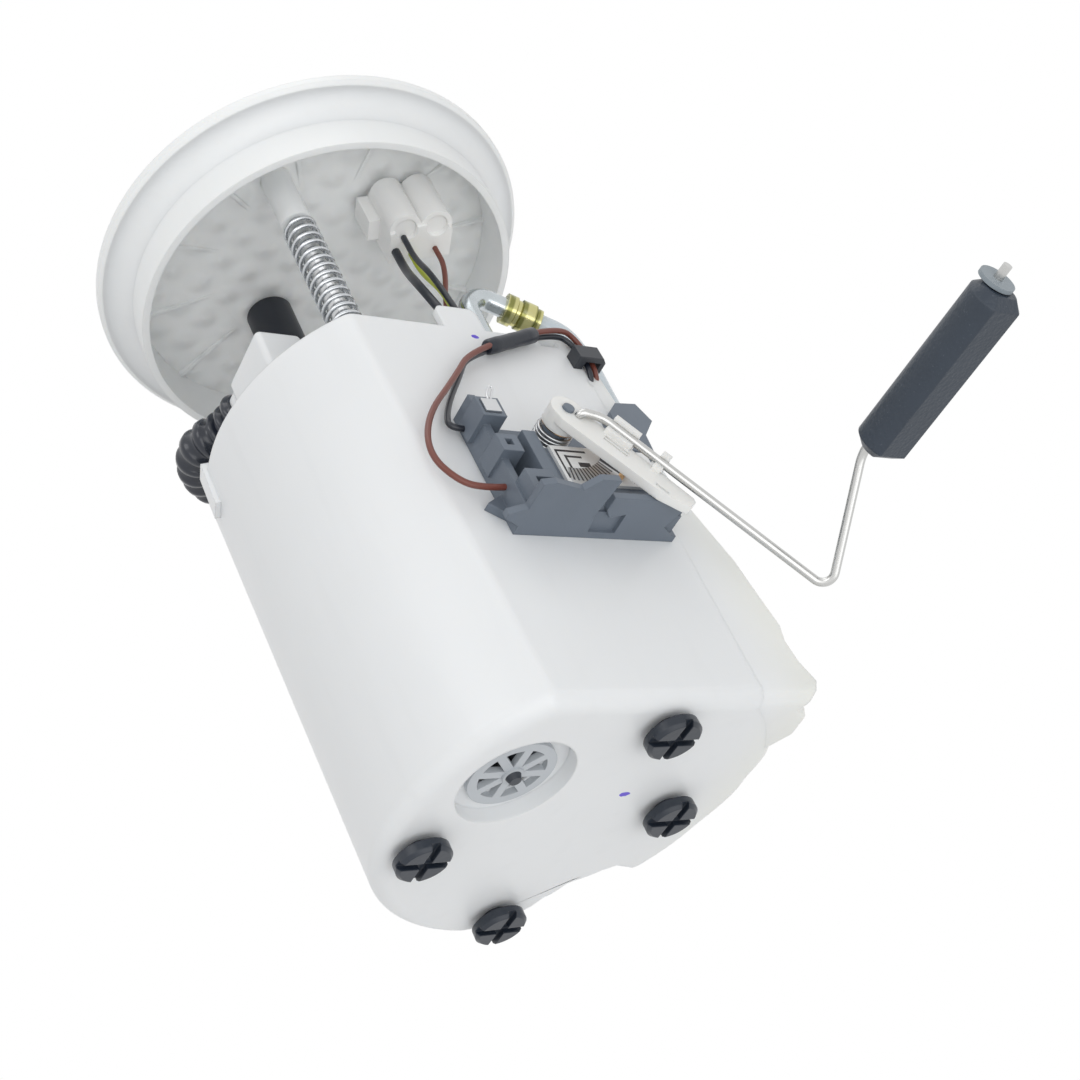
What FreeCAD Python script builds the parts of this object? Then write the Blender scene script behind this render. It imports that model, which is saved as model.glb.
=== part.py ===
import FreeCAD, Part
import math
import os
import re

import Sketcher

# Fuel pump module: a white pot with its pump and level sender, sprung under a round flange.
# Millimetres. Z runs along the module, Z = 0 is the flange's underside, the flat wall faces -Y.

V = FreeCAD.Vector

# Driving sizes, kept in the sheet and read back from it.
SIZES = {
    # Flange
    "rim_radius": 65.0, "rim_edge": 1.0, "flange_thick": 4.1, "ceiling_rise": 1.0, "skirt_radius": 56.4,
    "skirt_wall": 2.2, "skirt_depth": 16.0, "rib_depth": 1.6, "rib_wide": 1.2, "rib_ring_radius": 30.0,
    
    "boss_radius": 4.4, "boss_depth": 20.0, "hose_stub_radius": 4.4, "hose_stub_depth": 18.0,
    "bore_radius": 2.5, "plateau_radius": 52.0, "plateau_rise": 1.4, "dome_radius": 7.0, "dome_rise": 20.0, "spigot_radius": 3.95,
    "spigot_rise": 13.5,
    "spigot_reach": 30.0, "bead_radius": 4.7, "bead_wide": 2.0, "bead_setback": 8.0,
    # Electrical socket and the block below it
    "socket_x": 14.9, "socket_y": -28.9, "socket_turn": -20.0, "socket_long": 27.0, "socket_deep": 14.0,
    "socket_rise": 19.0, "socket_wall": 1.8, "socket_floor": 3.0, "pin_pitch": 5.6, "pin_wide": 2.2,
    "pin_thick": 0.8, "pin_rise": 9.0, "block_long": 19.0, "block_deep": 12.0, "block_depth": 21.0,
    "lobe_radius": 4.9, "lobe_pitch": 9.4, "block_step": 3.5,
    "hose_x": -8.0, "hose_y": 19.0,
    # Guide rods and springs
    "rod_x": 24.2, "rod_y": 27.4, "rod_radius": 3.0, "rod_top_gap": 4.0, "rod_end": 106.0,
    "groove_depth": 0.7, "clip_thick": 1.0, "clip_radius": 5.4, "clip_slot": 4.0,
    "spring_wire": 0.55, "spring_radius": 4.35, "spring_pitch": 2.95,
    "sleeve_radius": 6.0, "sleeve_length": 24.0, "slide_gap": 0.3,
    # Pot
    "pot_top": 76.0, "pot_bottom": 201.0, "pot_top_radius": 54.4, "pot_bottom_radius": 51.4,
    "flat_front": 41.7, "pot_wall": 2.0, "pot_edge": 4.5,
    "tab_half_wide": 6.5, "tab_rise": 8.5, "finger_wide": 6.0, "finger_low": 88.0, "finger_high": 73.5,
    "finger_turn": 161.0, "bump_radius": 5.0, "bump_out": 50.8, "bump_turn": -43.0, "lug_drop": 4.0,
    "recess_x": -26.3, "recess_y": -13.9, "recess_radius": 14.5, "recess_depth": 4.0, "cup_wall": 2.0,
    "valve_radius": 10.8, "valve_thick": 1.6, "valve_hub": 2.6, "spoke_wide": 2.2, "flap_radius": 8.6,
    # Rubber feet
    "foot_radius": 6.8, "foot_thick": 3.0, "foot_neck": 3.3, "foot_stand": 2.0, "foot_groove": 2.2,
    "foot_groove_depth": 1.5, "foot_stem": 1.9, "foot_head": 3.2, "foot_dimple": 0.9, "foot_edge": 0.8,
    # Cover
    "cover_drop": 2.0, "cover_thick": 2.5, "cover_gap": 0.25, "hood_rise": 23.0, "hood_wall": 1.8,
    "hood_left": -44.5, "hood_right": -31.0, "hood_front": -17.0, "hood_back": 3.0, "collar_x": -40.4,
    "collar_radius": 4.4, "collar_long": 2.0, "collar_depth": 60.6, "grommet_x": 6.5, "grommet_y": -33.5,
    "grommet_radius": 4.6, "holder_wall": 1.8, "holder_length": 76.0,
    # Pump
    "pump_radius": 19.0, "pump_wall": 1.4, "pump_top": 118.0, "pump_length": 64.0, "cap_thick": 5.0, "cap_edge": 1.0,
    "outlet_radius": 3.9, "outlet_long": 12.0, "damper_wall": 2.1, "magnet_wall": 3.6,
    "rotor_radius": 13.4, "shaft_radius": 1.5, "rotor_inset": 10.0, "impeller_radius": 14.0,
    "impeller_thick": 2.4, "running_gap": 0.3, "strainer_long": 38.0, "strainer_wide": 26.0,
    "strainer_thick": 4.5, "inlet_x": 9.0, "strainer_x": 9.0, "strainer_y": 7.0, "strainer_neck": 5.0,
    # Jet pump feed on the right side
    "jet_turn": -38.0, "jet_inner": 46.0, "jet_outer": 61.2, "jet_wide": 15.0, "jet_top": 166.0,
    "jet_base": 199.0, "jet_lug": 1.8, "jet_port_out": 57.2, "jet_port_radius": 4.4, "jet_port_high": 7.0,
    "feed_radius": 2.8, "elbow_radius": 3.0, "elbow_x": 17.5, "elbow_y": -30.0, "ferrule_radius": 4.5,
    "ferrule_long": 11.0, "ferrule_waist": 3.9,
    # Level sender
    "bracket_left": -19.5, "bracket_right": 28.5, "bracket_bottom": 151.5, "bracket_top": 113.0,
    "plate_thick": 2.0, "shelf_reach": 55.2, "bracket_wall": 2.0, "card_thick": 0.9,
    "card_left": -3.6, "card_right": 26.5, "card_bottom": 142.0, "card_top": 129.4, "tray_front": 49.6,
    "pivot_x": 0.5, "pivot_z": 124.3, "post_radius": 3.2, "pin_radius": 1.5, "coil_radius": 4.4,
    "coil_wire": 0.42, "coil_pitch": 1.05, "coil_turns": 7.0, "comb_inner": 13.0, "comb_outer": 19.0,
    # Float arm
    "arm_angle": 54.2, "arm_back": 55.5, "arm_thick": 2.5, "arm_long": 38.0, "arm_low": -5.2,
    "arm_high": 2.4, "hub_radius": 4.6, "hub_back": 53.0, "wire_radius": 1.1, "wire_side": 4.2,
    "wire_front": 59.4, "wire_run": 76.0, "clip_start": 10.0, "clip_long": 7.6, "clip_wall": 0.9,
    "small_clip_start": 24.4, "small_clip_long": 2.4, "wiper_thick": 0.35,
    # Float
    "float_near": 92.0, "float_long": 47.5, "float_flat": 4.9, "float_round": 6.3, "float_hang": 2.6,
    "float_bevel": 2.2, "fit_gap": 0.06, "float_x": 48.0, "float_z": -166.2, "washer_radius": 4.4,
    "washer_thick": 1.0, "float_gap": 0.3, "wire_past": 3.6,
    # Wires
    "lead_radius": 0.95, "ground_radius": 1.5, "sleeve_tube_radius": 2.2, "hook_thick": 1.6,
    "hose_radius": 6.4, "cuff_radius": 7.0, "cuff_depth": 24.0,
}

doc = FreeCAD.newDocument("fuel_pump_module")
sheet = doc.addObject("Spreadsheet::Sheet", "Sizes")
for row, (alias, amount) in enumerate(SIZES.items(), 1):
    sheet.set("A%d" % row, alias)
    sheet.set("B%d" % row, str(amount))
    sheet.setAlias("B%d" % row, alias)
doc.recompute()

WORDS = re.compile(r"\b(%s)\b" % "|".join(SIZES))
PARTS = []


def bound(text):
    """The expression with each size's name pointed at the sheet."""
    return WORDS.sub(r"Sizes.\1", str(text))


def number(text):
    """What an expression on the sheet's sizes comes to."""
    return float(sheet.evalExpression(bound(text)))


def bind(item, **fields):
    """Tie properties of an object to expressions on the sheet."""
    for field, text in fields.items():
        item.setExpression(field.replace("__", "."), bound(text))
    return item


def keep(item, label):
    """Name a finished sub-part and list it for export."""
    item.Label = label
    PARTS.append(item)
    return item


# Sketches


def new_body(label):
    """A body that becomes one sub-part."""
    return keep(doc.addObject("PartDesign::Body", "body_" + label), label)


def new_sketch(body, plane, lift="0", shift=("0", "0"), turn="0"):
    """A sketch on one of the body's origin planes, lifted along the plane's normal and turned on it."""
    sketch = body.newObject("Sketcher::SketchObject", "sketch")
    support = next(item for item in body.Origin.OriginFeatures if item.Role == plane + "_Plane")
    sketch.AttachmentSupport = (support, [""])
    sketch.MapMode = "FlatFace"
    spin = FreeCAD.Rotation(V(0, 0, 1), number(turn))
    sketch.AttachmentOffset = FreeCAD.Placement(V(0, 0, 0), spin)
    bind(sketch, AttachmentOffset__Base__x=shift[0], AttachmentOffset__Base__y=shift[1],
         AttachmentOffset__Base__z=lift)
    if turn != "0":
        bind(sketch, AttachmentOffset__Rotation__Angle=turn)
    return sketch


def place_point(sketch, index, end, spot):
    """Hold a sketch point at a spot given by two expressions."""
    for kind, text, axis in (("DistanceX", spot[0], -2), ("DistanceY", spot[1], -1)):
        value = number(text)
        if abs(value) < 1e-7:
            sketch.addConstraint(Sketcher.Constraint("PointOnObject", index, end, axis))
        elif value > 0:
            row = sketch.addConstraint(Sketcher.Constraint(kind, -1, 1, index, end, value))
            sketch.setExpression("Constraints[%d]" % row, bound(text))
        else:
            row = sketch.addConstraint(Sketcher.Constraint(kind, index, end, -1, 1, -value))
            sketch.setExpression("Constraints[%d]" % row, "-(%s)" % bound(text))


def draw_polygon(sketch, spots):
    """A closed outline of straight lines."""
    values = [V(number(x), number(y), 0) for x, y in spots]
    first = sketch.GeometryCount
    count = len(spots)
    for index in range(count):
        sketch.addGeometry(Part.LineSegment(values[index], values[(index + 1) % count]), False)
    for index in range(count):
        after = first + (index + 1) % count
        sketch.addConstraint(Sketcher.Constraint("Coincident", first + index, 2, after, 1))
    for index, spot in enumerate(spots):
        place_point(sketch, first + index, 1, spot)
    return sketch


def draw_box(sketch, left, low, right, high):
    """A closed outline from two opposite corners."""
    return draw_polygon(sketch, [(left, low), (right, low), (right, high), (left, high)])


def draw_circle(sketch, radius, centre=("0", "0")):
    """A circle of a bound radius at a bound centre."""
    circle = Part.Circle(V(number(centre[0]), number(centre[1]), 0), V(0, 0, 1), number(radius))
    index = sketch.addGeometry(circle, False)
    row = sketch.addConstraint(Sketcher.Constraint("Radius", index, number(radius)))
    sketch.setExpression("Constraints[%d]" % row, bound(radius))
    if centre == ("0", "0"):
        sketch.addConstraint(Sketcher.Constraint("Coincident", index, 3, -1, 1))
    else:
        place_point(sketch, index, 3, centre)
    return sketch


def draw_flat_round(sketch, radius, flat):
    """A circle about the origin with its front cut off flat."""
    size = number(radius)
    front = number(flat)
    start = -math.asin(front / size)
    half = math.sqrt(size * size - front * front)
    arc = Part.ArcOfCircle(Part.Circle(V(0, 0, 0), V(0, 0, 1), size), start, math.pi - start)
    sketch.addGeometry(arc, False)
    sketch.addGeometry(Part.LineSegment(V(-half, -front, 0), V(half, -front, 0)), False)
    sketch.addConstraint(Sketcher.Constraint("Coincident", 0, 2, 1, 1))
    sketch.addConstraint(Sketcher.Constraint("Coincident", 1, 2, 0, 1))
    sketch.addConstraint(Sketcher.Constraint("Coincident", 0, 3, -1, 1))
    sketch.addConstraint(Sketcher.Constraint("Horizontal", 1))
    row = sketch.addConstraint(Sketcher.Constraint("Radius", 0, size))
    sketch.setExpression("Constraints[%d]" % row, bound(radius))
    row = sketch.addConstraint(Sketcher.Constraint("DistanceY", 1, 1, -1, 1, front))
    sketch.setExpression("Constraints[%d]" % row, bound(flat))
    return sketch


# Features


def pad(body, sketch, length, down=False):
    """Material from a sketch, along its normal or against it."""
    feature = body.newObject("PartDesign::Pad", "pad")
    feature.Profile = sketch
    feature.Reversed = down
    return bind(feature, Length=length)


def pocket(body, sketch, length, up=False):
    """A cut from a sketch against its normal, or along it."""
    feature = body.newObject("PartDesign::Pocket", "pocket")
    feature.Profile = sketch
    feature.Reversed = up
    return bind(feature, Length=length)


def revolve(body, sketch):
    """A turned solid about the sketch's own vertical axis."""
    feature = body.newObject("PartDesign::Revolution", "turned")
    feature.Profile = sketch
    feature.ReferenceAxis = (sketch, ["V_Axis"])
    feature.Angle = 360
    return feature


def turned_body(label, spots, x="0", y="0"):
    """A body turned about a vertical axis from an outline of radius and height."""
    body = new_body(label)
    revolve(body, draw_polygon(new_sketch(body, "XZ", shift=("0", "0")), spots))
    bind(body, Placement__Base__x=x, Placement__Base__y=y)
    return body


def loft(body, kind, first, last):
    """Material added or cut between two outlines."""
    feature = body.newObject("PartDesign::" + kind, "loft")
    feature.Profile = first
    feature.Sections = [last]
    feature.Ruled = True
    return feature


def round_pattern(body, feature, count, label="pattern"):
    """Copies of a feature about Z."""
    pattern = body.newObject("PartDesign::PolarPattern", label)
    pattern.Originals = [feature]
    pattern.Axis = (next(item for item in body.Origin.OriginFeatures if item.Role == "Z_Axis"), [""])
    pattern.Angle = 360
    pattern.Occurrences = count
    body.Tip = pattern
    return pattern


def edges_of(feature, test):
    """Names of a feature's edges that pass a test."""
    doc.recompute()
    edges = enumerate(feature.Shape.Edges, 1)
    return ["Edge%d" % index for index, edge in edges if test(edge)]


def soften(body, feature, radius, test, kind="Fillet"):
    """Round or bevel the edges of a feature that pass a test."""
    names = edges_of(feature, test)
    finish = body.newObject("PartDesign::" + kind, kind.lower())
    finish.Base = (feature, names)
    bind(finish, **{"Radius" if kind == "Fillet" else "Size": radius})
    body.Tip = finish
    return finish


# Tubes along hand chosen routes


def smooth_route(points, shares=None):
    """Straight runs joined by arcs that use a share of the shorter run, with the smallest arc's radius."""
    spots = [V(*point) for point in points]
    shares = shares or [0.45] * len(spots)
    edges = []
    at = spots[0]
    radii = []
    for before, here, after, share in zip(spots, spots[1:], spots[2:], shares):
        inward = (here - before).normalize()
        onward = (after - here).normalize()
        half = inward.getAngle(onward) / 2
        cut = share * min((here - before).Length, (after - here).Length)
        radii.append(cut / math.tan(half))
        start = here - inward * cut
        finish = here + onward * cut
        towards = (onward - inward).normalize()
        middle = here + towards * (radii[-1] / math.cos(half) - radii[-1])
        edges.append(Part.LineSegment(at, start).toShape())
        edges.append(Part.Arc(start, middle, finish).toShape())
        at = finish
    edges.append(Part.LineSegment(at, spots[-1]).toShape())
    return Part.Wire(edges), min(radii) if radii else 0.0


def tube_solid(points, radius, shares=None):
    """A round solid along a route."""
    route, tightest = smooth_route(points, shares)
    start = V(*points[0])
    ahead = (V(*points[1]) - start).normalize()
    ring = Part.Wire(Part.makeCircle(radius, start, ahead))
    solid = route.makePipeShell([ring], True, False)
    filled = solid.Volume / (math.pi * radius * radius * route.Length)
    print("tube length %.1f, smallest radius %.1f, volume share %.3f" % (route.Length, tightest, filled))
    return solid


def tube(label, points, radius, shares=None):
    """A sub-part that is a tube along a route."""
    feature = keep(doc.addObject("Part::Feature", "tube_" + label), label)
    feature.Shape = tube_solid(points, number(radius), shares)
    return feature


# Springs

COIL_STEPS = 10
COIL_SIDES = 5


def coil(label, turns, radius, pitch, wire):
    """A coil standing on the ground plane of its own frame, lofted through wire sections."""
    sections = round(number(turns) * COIL_STEPS)
    turn = 2 * math.pi * number(turns) / sections
    rings = []
    for index in range(sections + 1):
        heading = V(math.cos(index * turn), math.sin(index * turn), 0)
        rise = number(pitch) * index * turn / (2 * math.pi)
        corners = []
        for side in range(COIL_SIDES + 1):
            around = 2 * math.pi * side / COIL_SIDES
            reach = number(radius) + number(wire) * math.cos(around)
            corners.append(heading * reach + V(0, 0, rise + number(wire) * math.sin(around)))
        rings.append(Part.makePolygon(corners))
    spring = keep(doc.addObject("Part::Feature", "coil"), label)
    spring.Shape = Part.makeLoft(rings, True, True)
    return spring


# Flange group


def make_flange():
    """The lid with its skirt, ribs, rod bosses, hose stub and top fittings."""
    body = new_body("flange")
    inner = "skirt_radius - skirt_wall"
    revolve(body, draw_polygon(new_sketch(body, "XZ"), [
        ("0", "flange_thick + plateau_rise"), ("plateau_radius", "flange_thick + plateau_rise"),
        ("plateau_radius", "flange_thick"), ("rim_radius - rim_edge", "flange_thick"),
        ("rim_radius", "flange_thick - rim_edge"), ("rim_radius", "rim_edge"), ("rim_radius - rim_edge", "0"),
        ("skirt_radius", "0"), ("skirt_radius", "-skirt_depth"), (inner, "-skirt_depth"),
        (inner, "ceiling_rise"), ("0", "ceiling_rise")]))
    rib = pad(body, draw_box(new_sketch(body, "XY", "ceiling_rise"), "rib_ring_radius", "-rib_wide / 2",
                             "skirt_radius - skirt_wall / 2", "rib_wide / 2"), "rib_depth", True)
    round_pattern(body, rib, 12)
    ring = new_sketch(body, "XY", "ceiling_rise")
    draw_circle(ring, "rib_ring_radius + rib_wide / 2")
    draw_circle(ring, "rib_ring_radius - rib_wide / 2")
    pad(body, ring, "rib_depth", True)
    seat = new_sketch(body, "XY", "ceiling_rise", ("socket_x", "socket_y"), "socket_turn")
    pad(body, block_outline(seat), "rib_depth", True)
    for side in ("-", ""):
        spot = (side + "rod_x", side + "rod_y")
        pad(body, draw_circle(new_sketch(body, "XY", "ceiling_rise"), "boss_radius", spot),
            "boss_depth + ceiling_rise", True)
        pocket(body, draw_circle(new_sketch(body, "XY", "-boss_depth"), "rod_radius", spot),
               "boss_depth - rod_top_gap", True)
    hose_spot = ("hose_x", "hose_y")
    pad(body, draw_circle(new_sketch(body, "XY", "ceiling_rise"), "hose_stub_radius", hose_spot),
        "hose_stub_depth + ceiling_rise", True)
    pad(body, draw_circle(new_sketch(body, "XY", "flange_thick"), "dome_radius", hose_spot), "dome_rise")
    out = new_sketch(body, "YZ", "hose_x")
    draw_circle(out, "spigot_radius + 0.4", ("hose_y", "flange_thick + spigot_rise"))
    pad(body, out, "spigot_reach - bead_setback", True)
    tip = new_sketch(body, "YZ", "hose_x - spigot_reach")
    draw_circle(tip, "spigot_radius", ("hose_y", "flange_thick + spigot_rise"))
    pad(body, tip, "bead_setback")
    bead = new_sketch(body, "YZ", "hose_x - spigot_reach + bead_setback")
    draw_circle(bead, "bead_radius", ("hose_y", "flange_thick + spigot_rise"))
    pad(body, bead, "bead_wide", True)
    bore = new_sketch(body, "YZ", "hose_x - spigot_reach")
    draw_circle(bore, "bore_radius", ("hose_y", "flange_thick + spigot_rise"))
    pocket(body, bore, "spigot_reach", True)
    pocket(body, draw_circle(new_sketch(body, "XY", "-hose_stub_depth"), "bore_radius", hose_spot),
           "hose_stub_depth + flange_thick + spigot_rise", True)
    shroud = new_sketch(body, "XY", "flange_thick", ("socket_x", "socket_y"), "socket_turn")
    draw_box(shroud, "-socket_long / 2", "-socket_deep / 2", "socket_long / 2", "socket_deep / 2")
    pad(body, shroud, "socket_rise")
    key = new_sketch(body, "XY", "flange_thick", ("socket_x", "socket_y"), "socket_turn")
    draw_box(key, "-socket_wall", "-socket_deep / 2 - socket_wall", "socket_wall", "-socket_deep / 2")
    pad(body, key, "socket_rise")
    mouth = new_sketch(body, "XY", "flange_thick + socket_rise", ("socket_x", "socket_y"), "socket_turn")
    draw_box(mouth, "-socket_long / 2 + socket_wall", "-socket_deep / 2 + socket_wall",
             "socket_long / 2 - socket_wall", "socket_deep / 2 - socket_wall")
    pocket(body, mouth, "socket_rise - socket_floor")
    return body


def block_outline(sketch):
    """Outline of the plug block: a bar with its front corners stepped."""
    return draw_polygon(sketch, [
        ("-block_long / 2", "-block_deep / 2 + 2"), ("-block_long / 2 + 3", "-block_deep / 2"),
        ("block_long / 2 - 3", "-block_deep / 2"), ("block_long / 2", "-block_deep / 2 + 2"),
        ("block_long / 2", "block_deep / 2"), ("-block_long / 2", "block_deep / 2")])


def at_socket(item):
    """Turn a sub-part with the socket."""
    item.Placement = FreeCAD.Placement(V(0, 0, 0), FreeCAD.Rotation(V(0, 0, 1), number("socket_turn")))
    return bind(item, Placement__Base__x="socket_x", Placement__Base__y="socket_y",
                Placement__Rotation__Angle="socket_turn")


def make_connector():
    """The plug block under the lid and the blades in the socket above it."""
    body = at_socket(new_body("connector_housing"))
    top = "ceiling_rise - rib_depth"
    pad(body, block_outline(new_sketch(body, "XY", top)), "block_depth + ceiling_rise - rib_depth", True)
    for side in ("-", ""):
        spot = (side + "lobe_pitch / 2", "-block_deep / 2 + 1")
        lobe = new_sketch(body, "XY", top + " - 1.5")
        pad(body, draw_circle(lobe, "lobe_radius", spot), "block_depth + ceiling_rise - rib_depth - 2.5", True)
    step = new_sketch(body, "XY", top)
    draw_box(step, "-block_long / 2 - block_step", "-block_deep / 2 + 3", "-block_long / 2 + 1", "block_deep / 2 - 2")
    pad(body, step, "block_depth * 0.55", True)
    for side in ("-", ""):
        well = new_sketch(body, "XY", "-block_depth")
        draw_circle(well, "lobe_radius - 1.6", (side + "lobe_pitch / 2", "-block_deep / 2 + 1"))
        pocket(body, well, "1.6", True)
    pins = at_socket(new_body("socket_pins"))
    base = "flange_thick + socket_floor"
    bar = new_sketch(pins, "XY", base)
    draw_box(bar, "-pin_pitch * 1.5 - pin_wide", "-pin_wide", "pin_pitch * 1.5 + pin_wide", "pin_wide")
    pad(pins, bar, "1")
    for place in range(4):
        blade = new_sketch(pins, "XY", base + " + 1")
        middle = "pin_pitch * %.1f" % (place - 1.5)
        draw_box(blade, middle + " - pin_wide / 2", "-pin_thick / 2", middle + " + pin_wide / 2", "pin_thick / 2")
        pad(pins, blade, "pin_rise")


def make_rod(name, side):
    """A guide rod with its retaining clip."""
    x, y = side + "rod_x", side + "rod_y"
    low = "-pot_top - cover_drop - sleeve_length - fit_gap"
    turned_body("guide_rod_" + name, [
        ("0", "-rod_top_gap"), ("rod_radius", "-rod_top_gap"), ("rod_radius", low),
        ("rod_radius - groove_depth", low), ("rod_radius - groove_depth", low + " - clip_thick"),
        ("rod_radius", low + " - clip_thick"), ("rod_radius", "-rod_end + 0.6"),
        ("rod_radius - 0.6", "-rod_end"), ("0", "-rod_end")], x, y)
    clip = new_body("rod_clip_" + name)
    pad(clip, draw_circle(new_sketch(clip, "XY", low), "clip_radius"), "clip_thick", True)
    opening = new_sketch(clip, "XY", low)
    draw_circle(opening, "rod_radius - groove_depth")
    pocket(clip, opening, "clip_thick")
    mouth = new_sketch(clip, "XY", low)
    draw_box(mouth, "0", "-clip_slot / 2", "clip_radius + 1", "clip_slot / 2")
    pocket(clip, mouth, "clip_thick")
    bind(clip, Placement__Base__x=x, Placement__Base__y=y)


def make_spring(name, side):
    """A guide spring between the cover and the lid."""
    low = "-(pot_top + cover_drop)"
    high = "-boss_depth"
    turns = "(%s - (%s) - 2 * spring_wire - slide_gap) / spring_pitch" % (high, low)
    spring = coil("guide_spring_" + name, turns, "spring_radius", "spring_pitch", "spring_wire")
    bind(spring, Placement__Base__x=side + "rod_x", Placement__Base__y=side + "rod_y",
         Placement__Base__z=low + " + spring_wire")


# Pot group


def flat_cone(top, bottom, front, depth):
    """A tapered round solid under the pot's rim with its front cut off flat."""
    cone = doc.addObject("Part::Cone", "cone")
    bind(cone, Radius1=bottom, Radius2=top, Height="%s - pot_top" % depth, Placement__Base__z="-(%s)" % depth)
    keeper = doc.addObject("Part::Box", "keeper")
    bind(keeper, Length="2 * (%s)" % top, Width="%s + (%s)" % (top, front), Height="%s - pot_top" % depth,
         Placement__Base__x="-(%s)" % top, Placement__Base__y="-(%s)" % front, Placement__Base__z="-(%s)" % depth)
    flat = doc.addObject("Part::Common", "flat")
    flat.Base = cone
    flat.Tool = keeper
    return flat


def make_pot():
    """The tapered pot with a flat front wall, its rim tabs, inlet cup and foot holes."""
    body = new_body("reservoir_pot")
    inner_bottom = "pot_bottom - pot_wall"
    shell = doc.addObject("Part::Cut", "shell")
    shell.Base = flat_cone("pot_top_radius", "pot_bottom_radius", "flat_front", "pot_bottom")
    shell.Tool = flat_cone("pot_top_radius - pot_wall", "pot_bottom_radius - pot_wall", "flat_front - pot_wall",
                           inner_bottom)
    body.BaseFeature = shell

    def outer_edge(edge):
        """True for the two upright ridges and the floor's outline."""
        box = edge.BoundBox
        return box.YMin < 1 - number("flat_front") and (
            box.ZMax - box.ZMin > 50 and box.ZMin < 1 - number("pot_bottom")) or box.ZMax < 1 - number("pot_bottom")
    soften(body, body.Tip, "pot_edge", outer_edge)
    for low, high in (("88", "77"), ("99", "90")):
        bump = new_sketch(body, "XY", "-" + low, turn="bump_turn")
        pad(body, draw_circle(bump, "bump_radius", ("bump_out", "0")), "%s - %s" % (low, high))
    inside = new_sketch(body, "XY", "-pot_top")
    pocket(body, draw_flat_round(inside, "pot_top_radius - pot_wall - 0.1", "flat_front - pot_wall"), "24")
    ledge = new_sketch(body, "XY", "-(pot_top + cover_drop + cover_thick)", turn="45")
    draw_box(ledge, "pot_top_radius - pot_wall - 4", "-4", "pot_top_radius - pot_wall + 0.6", "4")
    round_pattern(body, pad(body, ledge, "lug_drop", True), 4)
    tab = new_sketch(body, "XZ", "flat_front - pot_wall")
    draw_box(tab, "-tab_half_wide", "-pot_top - 1", "tab_half_wide", "-pot_top + tab_rise")
    tab_pad = pad(body, tab, "pot_wall")

    def tab_corner(edge):
        """True for the tab's two upper corners."""
        box = edge.BoundBox
        return box.XMax - box.XMin < 0.01 and box.ZMin > -number("pot_top") + 1 and box.YMax - box.YMin > 1
    soften(body, tab_pad, "2.5", tab_corner)
    finger = new_sketch(body, "XY", "-finger_low", turn="finger_turn")
    draw_box(finger, "pot_top_radius - pot_wall + 0.5", "-finger_wide / 2", "pot_top_radius + 1.2", "finger_wide / 2")
    pad(body, finger, "finger_low - finger_high")
    slot = new_sketch(body, "XZ", "flat_front + 1")
    draw_box(slot, "23", "-pot_top - 3.3", "29", "-pot_top - 1")
    pocket(body, slot, "pot_wall + 2")
    way_in = new_sketch(body, "XZ", "flat_front + 4")
    draw_box(way_in, "32.6", "-93.8", "37.8", "-91.2")
    pocket(body, way_in, "10")
    cup = ("recess_x", "recess_y")
    pad(body, draw_circle(new_sketch(body, "XY", "-(%s) - 0.5" % inner_bottom), "recess_radius + cup_wall", cup),
        "recess_depth + 0.5")
    pocket(body, draw_circle(new_sketch(body, "XY", "-pot_bottom - 0.5"), "recess_radius", cup),
           "recess_depth + 0.5", True)
    pocket(body, draw_circle(new_sketch(body, "XY", "-pot_bottom"), "flap_radius - 1", cup), "recess_depth + 4", True)
    for spot in FOOT_SPOTS.values():
        pocket(body, draw_circle(new_sketch(body, "XY", "-pot_bottom - 1"), "foot_stem", spot), "pot_wall + 2", True)
    return body


FOOT_SPOTS = {
    "left": ("-41", "8.6"), "rear": ("-3.1", "41.1"), "front": ("4.9", "-32.8"), "right": ("24.9", "-0.7"),
}


def make_foot(name):
    """A rubber foot: a crossed button with a stem through the pot's floor."""
    x, y = FOOT_SPOTS[name]
    top = "-pot_bottom + pot_wall"
    low = "-pot_bottom - foot_stand - foot_thick"
    body = new_body("rubber_foot_" + name)
    revolve(body, draw_polygon(new_sketch(body, "XZ"), [
        ("0", top + " + 1.6"), ("foot_stem - 0.3", top + " + 1.6"), ("foot_head", top), ("foot_stem", top),
        ("foot_stem", "-pot_bottom"), ("foot_neck", "-pot_bottom"), ("foot_neck", "-pot_bottom - foot_stand"),
        ("foot_radius", "-pot_bottom - foot_stand"), ("foot_radius", low + " + foot_edge"),
        ("foot_radius - foot_edge", low), ("0", low)]))
    half = "foot_groove / 2"
    for wide, tall in (("foot_radius + 1", half), (half, "foot_radius + 1")):
        groove = draw_box(new_sketch(body, "XY", low), "-(%s)" % wide, "-(%s)" % tall, wide, tall)
        pocket(body, groove, "foot_groove_depth", True)
    pocket(body, draw_circle(new_sketch(body, "XY", low), "foot_dimple"), "foot_thick", True)
    bind(body, Placement__Base__x=x, Placement__Base__y=y)


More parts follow.
